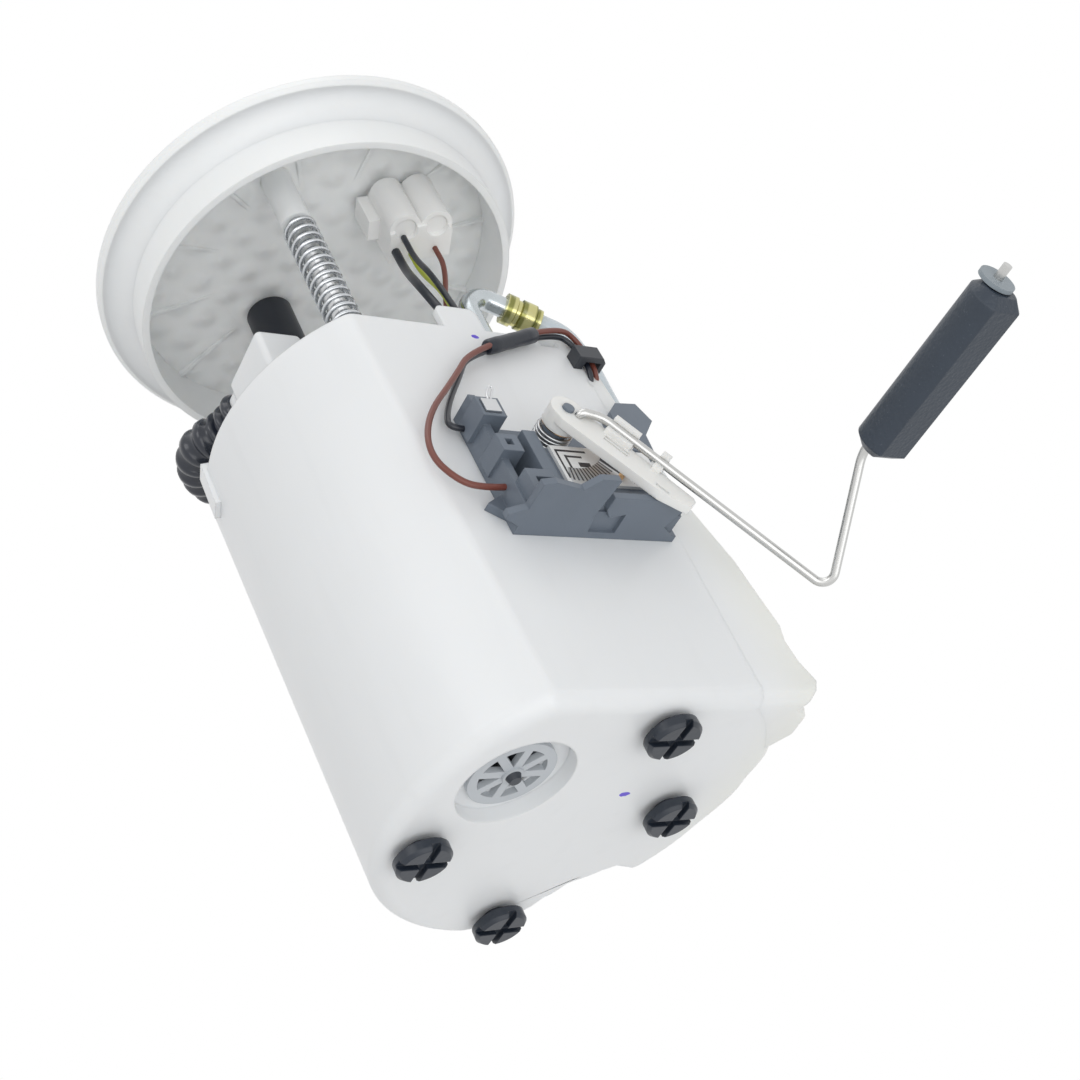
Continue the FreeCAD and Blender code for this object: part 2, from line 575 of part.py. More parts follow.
def make_valve():
    """The spoked ring under the inlet and the umbrella flap through it."""
    low = "-pot_bottom + recess_depth - valve_thick"
    ring = new_body("inlet_valve_ring")
    rim = new_sketch(ring, "XY", low)
    draw_circle(rim, "valve_radius")
    draw_circle(rim, "valve_radius - 2.4")
    pad(ring, rim, "valve_thick")
    spoke = pad(ring, draw_box(new_sketch(ring, "XY", low), "0", "-spoke_wide / 2", "valve_radius - 1",
                               "spoke_wide / 2"), "valve_thick")
    round_pattern(ring, spoke, 8)
    pad(ring, draw_circle(new_sketch(ring, "XY", low + " - 0.6"), "valve_hub"), "valve_thick + 0.6")
    pocket(ring, draw_circle(new_sketch(ring, "XY", low + " - 1"), "foot_stem - 0.6"), "valve_thick + 1", True)
    bind(ring, Placement__Base__x="recess_x", Placement__Base__y="recess_y")
    seat = "-pot_bottom + recess_depth + pot_wall"
    turned_body("umbrella_valve", [
        ("0", seat + " + 1.2"), ("2", seat + " + 1.2"), ("flap_radius", seat + " + 0.5"), ("flap_radius", seat),
        ("foot_stem - 0.6", seat), ("foot_stem - 0.6", low + " - 0.6"), ("foot_stem", low + " - 0.6"),
        ("foot_stem - 0.5", low + " - 2"), ("0", low + " - 2")], "recess_x", "recess_y")


def make_cover():
    """The pot's cover with rod sleeves, the outlet hood and the tube that holds the pump."""
    body = new_body("pot_cover")
    top = "-(pot_top + cover_drop)"
    plate = draw_flat_round(new_sketch(body, "XY", top), "pot_top_radius - pot_wall - cover_gap - 0.12",
                            "flat_front - pot_wall - cover_gap")
    pad(body, plate, "cover_thick", True)
    for side in ("-", ""):
        spot = (side + "rod_x", side + "rod_y")
        pad(body, draw_circle(new_sketch(body, "XY", top), "sleeve_radius", spot), "sleeve_length", True)
        pocket(body, draw_circle(new_sketch(body, "XY", top + " + 1"), "rod_radius + slide_gap", spot),
               "sleeve_length + 2")
    hood = draw_box(new_sketch(body, "XY", top), "hood_left", "hood_front", "hood_right", "hood_back")
    hood_pad = pad(body, hood, "hood_rise")
    hood_top = number(top + " + hood_rise")

    def hood_edge(edge):
        """True for the hood's top edges and its upright corners."""
        box = edge.BoundBox
        upright = box.ZMax - box.ZMin > 15 and box.XMax < -20 and box.ZMin > number(top) - 0.1
        return (abs(box.ZMin - hood_top) < 0.01) or upright
    soften(body, hood_pad, "1.6", hood_edge)
    hollow = new_sketch(body, "XY", top + " - cover_thick")
    draw_box(hollow, "hood_left + hood_wall", "hood_front + hood_wall", "hood_right - hood_wall",
             "hood_back - hood_wall")
    pocket(body, hollow, "cover_thick + hood_rise - hood_wall", True)
    collar = new_sketch(body, "XZ", "-(hood_back - hood_wall / 2)")
    draw_circle(collar, "collar_radius", ("collar_x", "-collar_depth"))
    pad(body, collar, "collar_long + hood_wall / 2", True)
    hole = new_sketch(body, "XZ", "-(hood_back + collar_long)")
    draw_circle(hole, "bore_radius", ("collar_x", "-collar_depth"))
    pocket(body, hole, "collar_long + hood_wall * 1.5", True)
    grommet = draw_circle(new_sketch(body, "XY", top), "grommet_radius", ("grommet_x", "grommet_y"))
    pocket(body, grommet, "cover_thick")
    holder = new_sketch(body, "XY", top + " - cover_thick")
    draw_circle(holder, "pump_radius + damper_wall + holder_wall")
    draw_circle(holder, "pump_radius + damper_wall")
    pad(body, holder, "holder_length", True)
    return body


HARNESS = {
    "ground": ("ground_radius", (-7.6, 1.8), [(2.4, -32.0, -46.0)], (4.7, -34.3)),
    "black": ("lead_radius", (-5.2, -2.2), [(6.4, -34.6, -44.0)], (7.6, -35.7)),
    "yellow": ("lead_radius", (-2.8, 3.4), [(9.8, -32.2, -48.0)], (8.7, -32.8)),
    "brown": ("lead_radius", (4.6, 2.6), [(14.0, -25.6, -47.0), (11.0, -28.4, -57.0)], (5.9, -31.2)),
}


def make_harness():
    """Wires from the plug block into the pot, and the grommet they pass."""
    base = V(number("socket_x"), number("socket_y"), 0)
    spin = FreeCAD.Rotation(V(0, 0, 1), number("socket_turn"))
    start = -number("block_depth")
    top = "-(pot_top + cover_drop)"
    low = number(top + " - cover_thick - 1")
    plug = new_body("harness_grommet")
    revolve(plug, draw_polygon(new_sketch(plug, "XZ"), [
        ("0", top + " + 1.2"), ("grommet_radius + 0.6", top + " + 1.2"), ("grommet_radius + 0.9", top),
        ("grommet_radius", top), ("grommet_radius", top + " - cover_thick - 1"), ("0", top + " - cover_thick - 1")]))
    bind(plug, Placement__Base__x="grommet_x", Placement__Base__y="grommet_y")
    for name, (radius, spot, bends, hole) in HARNESS.items():
        local = ("%r - grommet_x" % hole[0], "%r - grommet_y" % hole[1])
        pocket(plug, draw_circle(new_sketch(plug, "XY", top + " + 2"), radius, local), "cover_thick + 4")
        ahead = base + spin.multVec(V(spot[0], spot[1], 0))
        route = [(ahead.x, ahead.y, start), (ahead.x, ahead.y, start - 9)] + bends
        route += [(hole[0], hole[1], -66.0), (hole[0], hole[1], low)]
        tube("harness_" + name, route, radius)


# Pump


def make_pump():
    """The pump in its casing, standing on its strainer."""
    top, low = "-pump_top", "-(pump_top + pump_length)"
    inner = "pump_radius - pump_wall"
    turned_body("pump_casing", [("pump_radius", top), ("pump_radius", low), (inner, low), (inner, top)])
    room = "impeller_radius + running_gap"
    inlet = new_body("pump_inlet_cap")
    inlet_low = low + " - cap_thick"
    revolve(inlet, draw_polygon(new_sketch(inlet, "XZ"), [
        ("0", inlet_low), ("pump_radius - cap_edge", inlet_low), ("pump_radius", inlet_low + " + cap_edge"),
        ("pump_radius", low), (inner, low), (inner, low + " + 4"),
        (room, low + " + 4"), (room, low + " - 2.4"), ("shaft_radius + fit_gap", low + " - 2.4"),
        ("shaft_radius + fit_gap", low + " - 4"), ("0", low + " - 4")]))
    port = new_sketch(inlet, "XY", inlet_low)
    pocket(inlet, draw_circle(port, "strainer_neck - 2", ("inlet_x", "0")), "cap_thick - 2", True)
    outlet = new_body("pump_outlet_cap")
    revolve(outlet, draw_polygon(new_sketch(outlet, "XZ"), [
        ("shaft_radius + fit_gap", top + " - 5"), (inner, top + " - 5"), (inner, top), ("pump_radius", top),
        ("pump_radius", top + " + 7"), ("pump_radius - 3", top + " + 10"), ("outlet_radius", top + " + 10"),
        ("outlet_radius", top + " + 10 + outlet_long"), ("shaft_radius + fit_gap", top + " + 10 + outlet_long")]))
    magnet_top = top + " - rotor_inset"
    magnet_low = low + " + rotor_inset"
    turned_body("pump_magnet_ring", [
        (inner, magnet_top), (inner, magnet_low), ("pump_radius - pump_wall - magnet_wall", magnet_low),
        ("pump_radius - pump_wall - magnet_wall", magnet_top)])
    turned_body("pump_armature", [
        ("0", top + " + 2"), ("shaft_radius", top + " + 2"), ("shaft_radius", magnet_top),
        ("rotor_radius", magnet_top), ("rotor_radius", magnet_low), ("shaft_radius", magnet_low),
        ("shaft_radius", low + " - 3.6"), ("0", low + " - 3.6")])
    fan = new_body("pump_impeller")
    pad(fan, draw_circle(new_sketch(fan, "XY", low + " + 0.6"), "impeller_radius"), "impeller_thick", True)
    notch = new_sketch(fan, "XY", low + " + 0.6")
    draw_box(notch, "impeller_radius - 3", "-0.8", "impeller_radius + 1", "0.8")
    round_pattern(fan, pocket(fan, notch, "impeller_thick"), 12)
    pocket(fan, draw_circle(new_sketch(fan, "XY", low + " + 0.6"), "shaft_radius"), "impeller_thick")
    damper_top = "-(pot_top + cover_drop + cover_thick + holder_length) + 10"
    turned_body("pump_damper", [
        ("pump_radius", damper_top), ("pump_radius + damper_wall", damper_top),
        ("pump_radius + damper_wall", damper_top + " - 10"),
        ("pump_radius + damper_wall + holder_wall", damper_top + " - 10"),
        ("pump_radius + damper_wall + holder_wall", damper_top + " - 14"),
        ("pump_radius", damper_top + " - 14")])
    strainer = new_body("inlet_strainer")
    high = "-pot_bottom + pot_wall + strainer_thick + 2.5"
    base = new_sketch(strainer, "XY", high)
    draw_box(base, "strainer_x - strainer_long / 2", "strainer_y - strainer_wide / 2",
             "strainer_x + strainer_long / 2", "strainer_y + strainer_wide / 2")
    mat = pad(strainer, base, "strainer_thick", True)

    def upright(edge):
        """True for the mat's upright corners."""
        box = edge.BoundBox
        return box.ZMax - box.ZMin > 3 and box.XMax - box.XMin < 0.01 and box.YMax - box.YMin < 0.01
    soften(strainer, mat, "3", upright)
    neck = new_sketch(strainer, "XY", high + " - 0.5")
    pad(strainer, draw_circle(neck, "strainer_neck", ("inlet_x", "0")), "(%s) - (%s) + 0.5" % (inlet_low, high))
    hole = new_sketch(strainer, "XY", inlet_low)
    pocket(strainer, draw_circle(hole, "strainer_neck - 2", ("inlet_x", "0")), "(%s) - (%s) + 2" % (inlet_low, high))


# Jet pump feed


def make_jet_pump():
    """The jet pump housing shaped to the pot's side, with its port collar."""
    angle = math.radians(number("jet_turn"))
    spin = FreeCAD.Placement(V(0, 0, 0), FreeCAD.Rotation(V(0, 0, 1), number("jet_turn")))
    pieces = []
    for grow, low, high in (("0", "jet_base", "jet_top"), ("jet_lug", "jet_base - 1", "jet_base - 6"),
                            ("jet_lug", "jet_top + 18", "jet_top + 13")):
        box = doc.addObject("Part::Box", "block")
        box.Placement = spin
        bind(box, Length="jet_outer - jet_inner + (%s)" % grow, Width="jet_wide + 2 * (%s)" % grow,
             Height="(%s) - (%s)" % (low, high),
             Placement__Base__x="jet_inner * cos(jet_turn) + (jet_wide / 2 + (%s)) * sin(jet_turn)" % grow,
             Placement__Base__y="jet_inner * sin(jet_turn) - (jet_wide / 2 + (%s)) * cos(jet_turn)" % grow,
             Placement__Base__z="-(%s)" % low)
        pieces.append(box)
    collar = doc.addObject("Part::Cylinder", "collar")
    bind(collar, Radius="jet_port_radius", Height="jet_port_high + 2",
         Placement__Base__x="jet_port_out * cos(jet_turn)", Placement__Base__y="jet_port_out * sin(jet_turn)",
         Placement__Base__z="-jet_top - 2")
    pieces.append(collar)
    joined = doc.addObject("Part::MultiFuse", "joined")
    joined.Shapes = pieces
    pot = doc.addObject("Part::Cone", "pot_clearance")
    bind(pot, Radius1="pot_bottom_radius", Radius2="pot_top_radius", Height="pot_bottom - pot_top",
         Placement__Base__z="-pot_bottom")
    seated = doc.addObject("Part::Cut", "seated")
    seated.Base = joined
    seated.Tool = pot
    bore = doc.addObject("Part::Cylinder", "port")
    bind(bore, Radius="feed_radius", Height="jet_port_high + 1",
         Placement__Base__x="jet_port_out * cos(jet_turn)", Placement__Base__y="jet_port_out * sin(jet_turn)",
         Placement__Base__z="-jet_top")
    housing = keep(doc.addObject("Part::Cut", "housing"), "jet_pump_body")
    housing.Base = seated
    housing.Tool = bore
    out = number("jet_port_out")
    return out * math.cos(angle), out * math.sin(angle)


def make_feed(port):
    """The feed line: a steel elbow, its banded ferrule and the plastic tube down the pot's side."""
    x, y = number("elbow_x"), number("elbow_y")
    base = number("-(pot_top + cover_drop)")
    end = V(31.0, y, -48.4)
    ahead = V(7.0, 0, -3.6).normalize()
    bend = end - ahead * 7.9
    tube("jet_feed_elbow", [(x, y, base), (x, y, -50.0), tuple(bend), tuple(end)], "elbow_radius")
    ferrule = new_body("elbow_ferrule")
    revolve(ferrule, draw_polygon(new_sketch(ferrule, "XZ"), [
        ("1.8", "0"), ("ferrule_radius", "0"), ("ferrule_radius", "3"), ("ferrule_waist", "3.4"),
        ("ferrule_waist", "4.4"), ("ferrule_radius", "4.8"), ("ferrule_radius", "ferrule_long - 2"),
        ("ferrule_waist", "ferrule_long - 1.6"), ("ferrule_waist", "ferrule_long"), ("1.8", "ferrule_long")]))
    ferrule.Placement = FreeCAD.Placement(end, FreeCAD.Rotation(V(0, 0, 1), ahead))
    start = end + ahead * number("ferrule_long")
    onward = start + ahead * 8.5
    route = [tuple(start), tuple(onward), (53.2, -28.0, -67.5), (53.4, -26.8, -86.0),
             (port[0], port[1], -146.0), (port[0], port[1], -number("jet_top"))]
    tube("jet_feed_tube", route, "feed_radius")


# Level sender


def slab(body, left, low, right, high, back, front, cut=False):
    """A block of the sender from its front view, between two depths in front of the axis."""
    if cut:
        sketch = draw_box(new_sketch(body, "XZ", front), left, low, right, high)
        return pocket(body, sketch, "(%s) - (%s)" % (front, back))
    sketch = draw_box(new_sketch(body, "XZ", back), left, low, right, high)
    return pad(body, sketch, "(%s) - (%s)" % (front, back))


def make_bracket():
    """The sender's bracket on the flat wall: plate, walls, terminal blocks, tray and pivot."""
    body = new_body("sender_bracket")
    face = "flat_front + plate_thick"
    plate = draw_polygon(new_sketch(body, "XZ", "flat_front"), [
        ("bracket_left", "-bracket_bottom"), ("bracket_right", "-bracket_bottom"), ("bracket_right", "-117.5"),
        ("-11.5", "-117.5"), ("-11.5", "-bracket_top"), ("bracket_left", "-bracket_top")])
    pad(body, plate, "plate_thick")
    shelf_top = "-bracket_bottom + bracket_wall"
    for outline in (
        [("bracket_left", "-flat_front - 1"), ("bracket_left", "-44.4"), ("-24", "-46.4"), ("-24", "-48"),
         ("bracket_left", "-50"), ("bracket_left", "-57.8"), ("-16", "-58.6"), ("-7.6", "-57"),
         ("-4.2", "-60.6"), ("1.3", "-60.6"), ("0", "-49.2"), ("1.3", "-flat_front - 1")],
        [("9.1", "-flat_front - 1"), ("8.9", "-50"), ("4.6", "-48.6"), ("2.6", "-51"), ("2.6", "-shelf_reach"),
         ("26.1", "-shelf_reach"), ("23", "-46.5"), ("bracket_right", "-flat_front - 1")]):
        pad(body, draw_polygon(new_sketch(body, "XY", "-bracket_bottom"), outline), "bracket_wall")
    slab(body, "bracket_left", "-bracket_bottom", "bracket_left + bracket_wall", "-bracket_top", "flat_front", "50")
    slab(body, "bracket_left - 1.4", "-123.4", "-14.2", "-117", face, "53")
    slab(body, "bracket_left - 0.8", "-135", "-14.4", "-129.4", face, "52.8")
    slab(body, "bracket_left + 1", "-149.5", "-11", "-142", face, "54")
    slab(body, "-11.4", "-bracket_bottom + 1", "-7.6", "-127", face, "52.4")
    slab(body, "-9", "-bracket_bottom + 1", "27", "-card_top - 0.2", "flat_front + 1", "tray_front")
    slab(body, "-9", shelf_top + " - 0.5", "27", shelf_top + " + 1.8", "flat_front + 1", "tray_front + 1.6")
    slab(body, "-18.4", "-133", "-16.4", "-131", "50.6", "54", True)
    slab(body, "-16.5", "-147", "-10", "-144.6", "51", "55", True)
    slab(body, "-20", "-122.4", "-15.4", "-118", "51.8", "54", True)
    guard = new_sketch(body, "XZ", "flat_front")
    draw_polygon(guard, [("27", "-123"), ("28.4", "-109.3"), ("32.1", "-105.4"), ("39.2", "-104.9"),
                         ("41.6", "-111.2"), ("36.3", "-117.1"), ("35.5", "-124.6")])
    pad(body, guard, "4.3")
    wing = new_sketch(body, "XZ", "flat_front")
    draw_polygon(wing, [("bracket_left + 1", "-140.5"), ("-24.2", "-144"), ("bracket_left + 1", "-148")])
    pad(body, wing, "2.4")
    spot = ("pivot_x", "-pivot_z")
    pad(body, draw_circle(new_sketch(body, "XZ", "flat_front + 1"), "post_radius", spot), "hub_back - 0.4 - flat_front - 1")
    pad(body, draw_circle(new_sketch(body, "XZ", "hub_back - 1"), "pin_radius", spot),
        "arm_back + arm_thick + 0.6 - hub_back + 1")
    return body


def make_card():
    """The ceramic card on the tray, its printed contact comb and the metal terminal."""
    card = new_body("resistor_card")
    slab(card, "card_left", "-card_bottom", "card_right", "-card_top", "tray_front", "tray_front + card_thick")
    comb = new_body("card_comb")
    sketch = new_sketch(comb, "XZ", "tray_front + card_thick", ("pivot_x", "-pivot_z"))
    outline = []
    for radius, angles in (("comb_inner", range(-100, -23, 8)), ("comb_outer", range(-28, -101, -8))):
        for angle in angles:
            outline.append(("%s * cos(%d)" % (radius, angle), "%s * sin(%d)" % (radius, angle)))
    draw_polygon(sketch, outline)
    pad(comb, sketch, "0.3")
    clip = new_body("sender_terminal")
    slab(clip, "-19.9", "-122.3", "-15.5", "-118.1", "51.8", "53.6")


def make_pivot_spring():
    """The coil spring round the pivot post."""
    spring = coil("pivot_spring", "coil_turns", "coil_radius", "coil_pitch", "coil_wire")
    spring.Placement = FreeCAD.Placement(V(0, 0, 0), FreeCAD.Rotation(V(1, 0, 0), 90))
    bind(spring, Placement__Base__x="pivot_x", Placement__Base__z="-pivot_z",
         Placement__Base__y="-(flat_front + plate_thick) - coil_wire")


def at_pivot(item):
    """Put an arm piece in the arm's own frame: X along the arm, Z across it."""
    spin = FreeCAD.Rotation(V(0, 1, 0), number("arm_angle"))
    item.Placement = FreeCAD.Placement(V(number("pivot_x"), 0, -number("pivot_z")), spin)
    return item


def make_arm():
    """The arm carrier with its wire clips, the wiper below it and the float's wire."""
    arm = at_pivot(new_body("arm_carrier"))
    front = "arm_back + arm_thick"
    pad(arm, draw_circle(new_sketch(arm, "XZ", "hub_back"), "hub_radius"), front + " - hub_back")
    plate = new_sketch(arm, "XZ", "arm_back")
    draw_polygon(plate, [("-3", "arm_low + 1.6"), ("1", "arm_low"), ("arm_long * 0.8", "arm_low + 1"),
                         ("arm_long", "-1.4"), ("arm_long", "arm_high - 1"), ("arm_long - 1", "arm_high"),
                         ("0", "arm_high + 1")])
    pad(arm, plate, "arm_thick")
    for start, long in (("clip_start", "clip_long"), ("small_clip_start", "small_clip_long")):
        slab(arm, start, "arm_high - 1", start + " + " + long, "wire_side + wire_radius + clip_wall", "arm_back",
             "wire_front + wire_radius + clip_wall")
    for start, long, low in (("11.2", "7.2", "-0.9"), ("11.2", "7.2", "0.3"), ("28", "3.8", "-2.9")):
        slab(arm, start, low, "%s + %s" % (start, long), low + " + 0.7", "arm_back + 1.2", front, True)
    bore = new_sketch(arm, "YZ", "small_clip_start + small_clip_long")
    draw_circle(bore, "wire_radius", ("-wire_front", "wire_side"))
    pocket(arm, bore, "small_clip_start + small_clip_long - clip_start")
    slab(arm, "clip_start - 1", "arm_high - 1.2", "small_clip_start + small_clip_long + 1", "wire_side + 0.3",
         "wire_front", "wire_front + 4", True)
    pocket(arm, draw_circle(new_sketch(arm, "XZ", front), "pin_radius + fit_gap"), front + " - hub_back")
    pocket(arm, draw_circle(new_sketch(arm, "XZ", front), "wire_radius", ("3.05", "0.4")), "2.2")
    peg_u = "(bracket_bottom - bracket_wall - 1.55 - pivot_z) / sin(arm_angle)"
    pad(arm, draw_circle(new_sketch(arm, "XZ", "arm_back"), "1.5", (peg_u, "0")), "2.9", True)
    wiper = at_pivot(new_body("wiper"))
    blade = new_sketch(wiper, "XZ", "hub_back - wiper_thick")
    draw_circle(blade, "hub_radius - 0.2")
    draw_circle(blade, "pin_radius + 0.3")
    pad(wiper, blade, "wiper_thick")
    for low, high in (("0.2", "1.5"), ("2.6", "3.9")):
        finger = new_sketch(wiper, "XZ", "hub_back - wiper_thick")
        draw_box(finger, "2.4", low, "20.4", high)
        pad(wiper, finger, "wiper_thick")
        tip = new_sketch(wiper, "XZ", "tray_front + card_thick + 0.5")
        draw_box(tip, "19", low, "20.4", high)
        pad(wiper, tip, "hub_back - tray_front - card_thick - 0.5")
    cos, sin = math.cos(math.radians(number("arm_angle"))), math.sin(math.radians(number("arm_angle")))
    dx, dz = number("float_x - pivot_x"), number("float_z + pivot_z")
    u, v = dx * cos - dz * sin, dx * sin + dz * cos
    side, deep = number("wire_side"), -number("wire_front")
    far = -number("float_near + float_long + float_gap + washer_thick + wire_past")
    route = [(3.05, -number(front) + 2.2, 0.4), (3.05, deep, 0.4), (7.4, deep, side),
             (number("wire_run"), deep, side), (u, 3.5 - number("float_near"), v), (u, far, v)]
    at_pivot(tube("float_wire", route, "wire_radius", (0.45, 0.45, 0.14, 0.08)))
    washer = new_body("float_washer")
    spot = new_sketch(washer, "XZ", "float_near + float_long + float_gap")
    draw_circle(spot, "washer_radius")
    draw_circle(spot, "wire_radius")
    pad(washer, spot, "washer_thick")
    bind(washer, Placement__Base__x="float_x", Placement__Base__z="float_z")


def make_float():
    """The foam float turning on the end of its wire, hung from a bore near its top."""
    body = new_body("float_body")
    middle = ("0", "-float_hang")
    ends = ("float_near + float_bevel", "float_near + float_long - float_bevel")
    for inner, outer in zip(ends, ("float_near", "float_near + float_long")):
        wide = draw_flat_round(new_sketch(body, "XZ", inner, middle), "float_round", "float_flat")
        slim = draw_flat_round(new_sketch(body, "XZ", outer, middle), "float_round - float_bevel",
                               "float_flat - float_bevel")
        loft(body, "AdditiveLoft", wide, slim)
        if inner == ends[0]:
            block = draw_flat_round(new_sketch(body, "XZ", inner, middle), "float_round", "float_flat")
            pad(body, block, "float_long - 2 * float_bevel")
    bore = new_sketch(body, "XZ", "float_near + float_long + 1")
    pocket(body, draw_circle(bore, "wire_radius + fit_gap"), "float_long + 2")
    bind(body, Placement__Base__x="float_x", Placement__Base__z="float_z")


# Sender leads

LEADS = {
    "black": [(34.1, -38.4, -92.5), (34.1, -42.9, -92.5), (34.1, -42.9, -78.6), (27.2, -43.45, -75.34),
              (-6.5, -43.45, -89.7), (-14.0, -43.45, -99.5), (-21.2, -43.45, -110.0), (-24.6, -43.7, -116.2),
              (-24.2, -44.7, -119.6), (-20.9, -44.7, -119.6)],
    "brown": [(36.3, -37.2, -92.5), (36.3, -42.8, -92.5), (36.3, -42.8, -76.6), (28.4, -45.55, -74.83),
              (-6.0, -45.55, -89.49), (-15.5, -45.6, -103.0), (-28.0, -45.7, -118.0), (-32.3, -45.8, -129.5),
              (-29.5, -46.6, -138.0), (-24.6, -46.6, -141.0), (-19.5, -46.6, -141.0)],
}


def make_leads():
    """The sender's two leads, the sleeve round them and the hook beside the flat wall."""
    for name, route in LEADS.items():
        tube("sender_lead_" + name, route, "lead_radius")
    sleeve = keep(doc.addObject("Part::Feature", "sleeve"), "lead_sleeve")
    middle = -44.5
    spots = [(19.0, middle, -78.83), (1.0, middle, -86.5)]
    sleeve.Shape = tube_solid(spots, 2.7).cut(tube_solid(spots, 2.1))
    hook = new_body("lead_hook")
    outline = new_sketch(hook, "XY", "-87.4")
    draw_polygon(outline, [("30", "-flat_front"), ("30", "-46"), ("37.9", "-46"), ("39.2", "-44.6"), ("39.2", "-41"),
                           ("37.8", "-41"), ("37.8", "-44.3"), ("32.8", "-44.3"), ("32.8", "-flat_front")])
    pad(hook, outline, "4.8")


def make_hose():
    """The outlet hose from the hood round to the lid, with its upper cuff."""
    x, y = number("hose_x"), number("hose_y")
    start = (number("collar_x"), number("hood_back + collar_long"), -number("collar_depth"))
    route = [start] + HOSE_BENDS + [
        (x, y, -number("cuff_depth") - 12.0), (x, y, -number("cuff_depth"))]
    tube("outlet_hose", route, "hose_radius")
    turned_body("hose_cuff", [
        ("hose_stub_radius", "ceiling_rise - rib_depth"), ("cuff_radius", "ceiling_rise - rib_depth"),
        ("cuff_radius", "-cuff_depth"), ("hose_stub_radius", "-cuff_depth")], "hose_x", "hose_y")


HOSE_BENDS = [(-40.4, 13.5, -60.6), (-46.8, 23.5, -57.6), (-40.5, 37.0, -56.0), (-25.0, 43.5, -54.5),
              (-10.0, 38.5, -50.0)]

make_flange()
make_connector()
for rod_name, rod_side in (("front", "-"), ("rear", "")):
    make_rod(rod_name, rod_side)
    make_spring(rod_name, rod_side)
make_pot()
for foot_name in FOOT_SPOTS:
    make_foot(foot_name)
make_valve()
make_cover()
make_pump()
make_feed(make_jet_pump())
make_hose()
make_harness()
make_bracket()
make_card()
make_pivot_spring()
make_arm()
make_float()
make_leads()
doc.recompute()

os.makedirs("parts", exist_ok=True)
broken = [item.Label for item in doc.Objects if {"Invalid", "Error"} & set(item.State)]
for part in PARTS:
    shape = part.Shape
    if broken or shape.isNull() or not shape.isValid() or len(shape.Solids) != 1:
        print("FAULT", part.Label, part.State, shape.isNull(), broken)
        continue
    shape.exportStep("parts/%s.step" % part.Label)
    print("%-22s %9.1f mm3" % (part.Label, shape.Volume))
print("%d sub-parts" % len(PARTS))
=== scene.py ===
"""Dresses the fuel pump module: its white mouldings, sprung rods, level sender, float and wiring.

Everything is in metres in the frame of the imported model. Z runs along the module, the lid is at the
top, and the pot's flat wall, which carries the level sender, faces -Y.
"""

import logging
import math
from dataclasses import dataclass, field
from enum import Enum
from typing import Any

import bpy
from mathutils import Matrix, Vector

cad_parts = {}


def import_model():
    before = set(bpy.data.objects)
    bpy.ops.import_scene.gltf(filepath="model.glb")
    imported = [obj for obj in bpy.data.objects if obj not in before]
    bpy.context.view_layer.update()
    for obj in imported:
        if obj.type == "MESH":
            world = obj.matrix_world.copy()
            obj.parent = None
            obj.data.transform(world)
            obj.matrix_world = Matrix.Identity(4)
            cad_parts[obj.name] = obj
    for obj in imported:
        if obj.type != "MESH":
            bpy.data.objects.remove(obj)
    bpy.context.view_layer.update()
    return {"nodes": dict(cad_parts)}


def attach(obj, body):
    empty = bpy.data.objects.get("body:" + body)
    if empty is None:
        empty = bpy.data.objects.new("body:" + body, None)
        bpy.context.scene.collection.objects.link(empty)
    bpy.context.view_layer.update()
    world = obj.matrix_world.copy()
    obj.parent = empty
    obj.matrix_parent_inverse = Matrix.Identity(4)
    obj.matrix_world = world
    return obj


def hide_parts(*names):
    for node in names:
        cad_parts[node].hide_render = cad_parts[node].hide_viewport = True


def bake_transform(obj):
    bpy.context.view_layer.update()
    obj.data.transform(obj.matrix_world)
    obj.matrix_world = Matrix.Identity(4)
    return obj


Point = tuple[float, float, float]
Colour = tuple[float, float, float]

MM = 0.001
LOG = logging.getLogger("fuel_pump_module")


class Body(Enum):
    """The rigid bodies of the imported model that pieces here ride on."""

    POT = "reservoir"
    LID = "lid"


# Shader maths


class Signal:
    """A node output that Python arithmetic can be written on."""

    def __init__(self, graph: "Graph", socket: bpy.types.NodeSocket) -> None:
        """Wrap one socket of a graph."""
        self.graph = graph
        self.socket = socket

    def maths(self, operation: str, *others: Any, first: Any = None) -> "Signal":
        """Put the signal through a Math node.

        Args:
            operation: The Math node's operation.
            others: What goes into the sockets after the first.
            first: What goes in ahead of the signal, for the reflected operators.

        Returns:
            The node's value.
        """
        values = [self, *others] if first is None else [first, self]
        return self.graph.add("ShaderNodeMath", {"operation": operation}, dict(enumerate(values)))

    def __add__(self, other: Any) -> "Signal":
        """Sum."""
        return self.maths("ADD", other)

    __radd__ = __add__

    def __sub__(self, other: Any) -> "Signal":
        """Difference."""
        return self.maths("SUBTRACT", other)

    def __rsub__(self, other: Any) -> "Signal":
        """Difference from a number."""
        return self.maths("SUBTRACT", first=other)

    def __mul__(self, other: Any) -> "Signal":
        """Product."""
        return self.maths("MULTIPLY", other)

    __rmul__ = __mul__

    def __pow__(self, other: Any) -> "Signal":
        """Power."""
        return self.maths("POWER", other)

    def above(self, edge: float) -> "Signal":
        """One where the signal is over an edge."""
        return self.maths("GREATER_THAN", edge)

    def below(self, edge: float) -> "Signal":
        """One where the signal is under an edge."""
        return self.maths("LESS_THAN", edge)

    def most(self, other: Any) -> "Signal":
        """The larger of two."""
        return self.maths("MAXIMUM", other)

    def wave(self, length: float) -> "Signal":
        """A sine from 0 to 1 that repeats every length."""
        return (self * (2 * math.pi / length)).maths("SINE") * 0.5 + 0.5

    def ramp(self, low: float, high: float) -> "Signal":
        """A smooth step from 0 at low to 1 at high."""
        return self.graph.add("ShaderNodeMapRange", {"interpolation_type": "SMOOTHSTEP"},
                              {"Value": self, "From Min": low, "From Max": high})


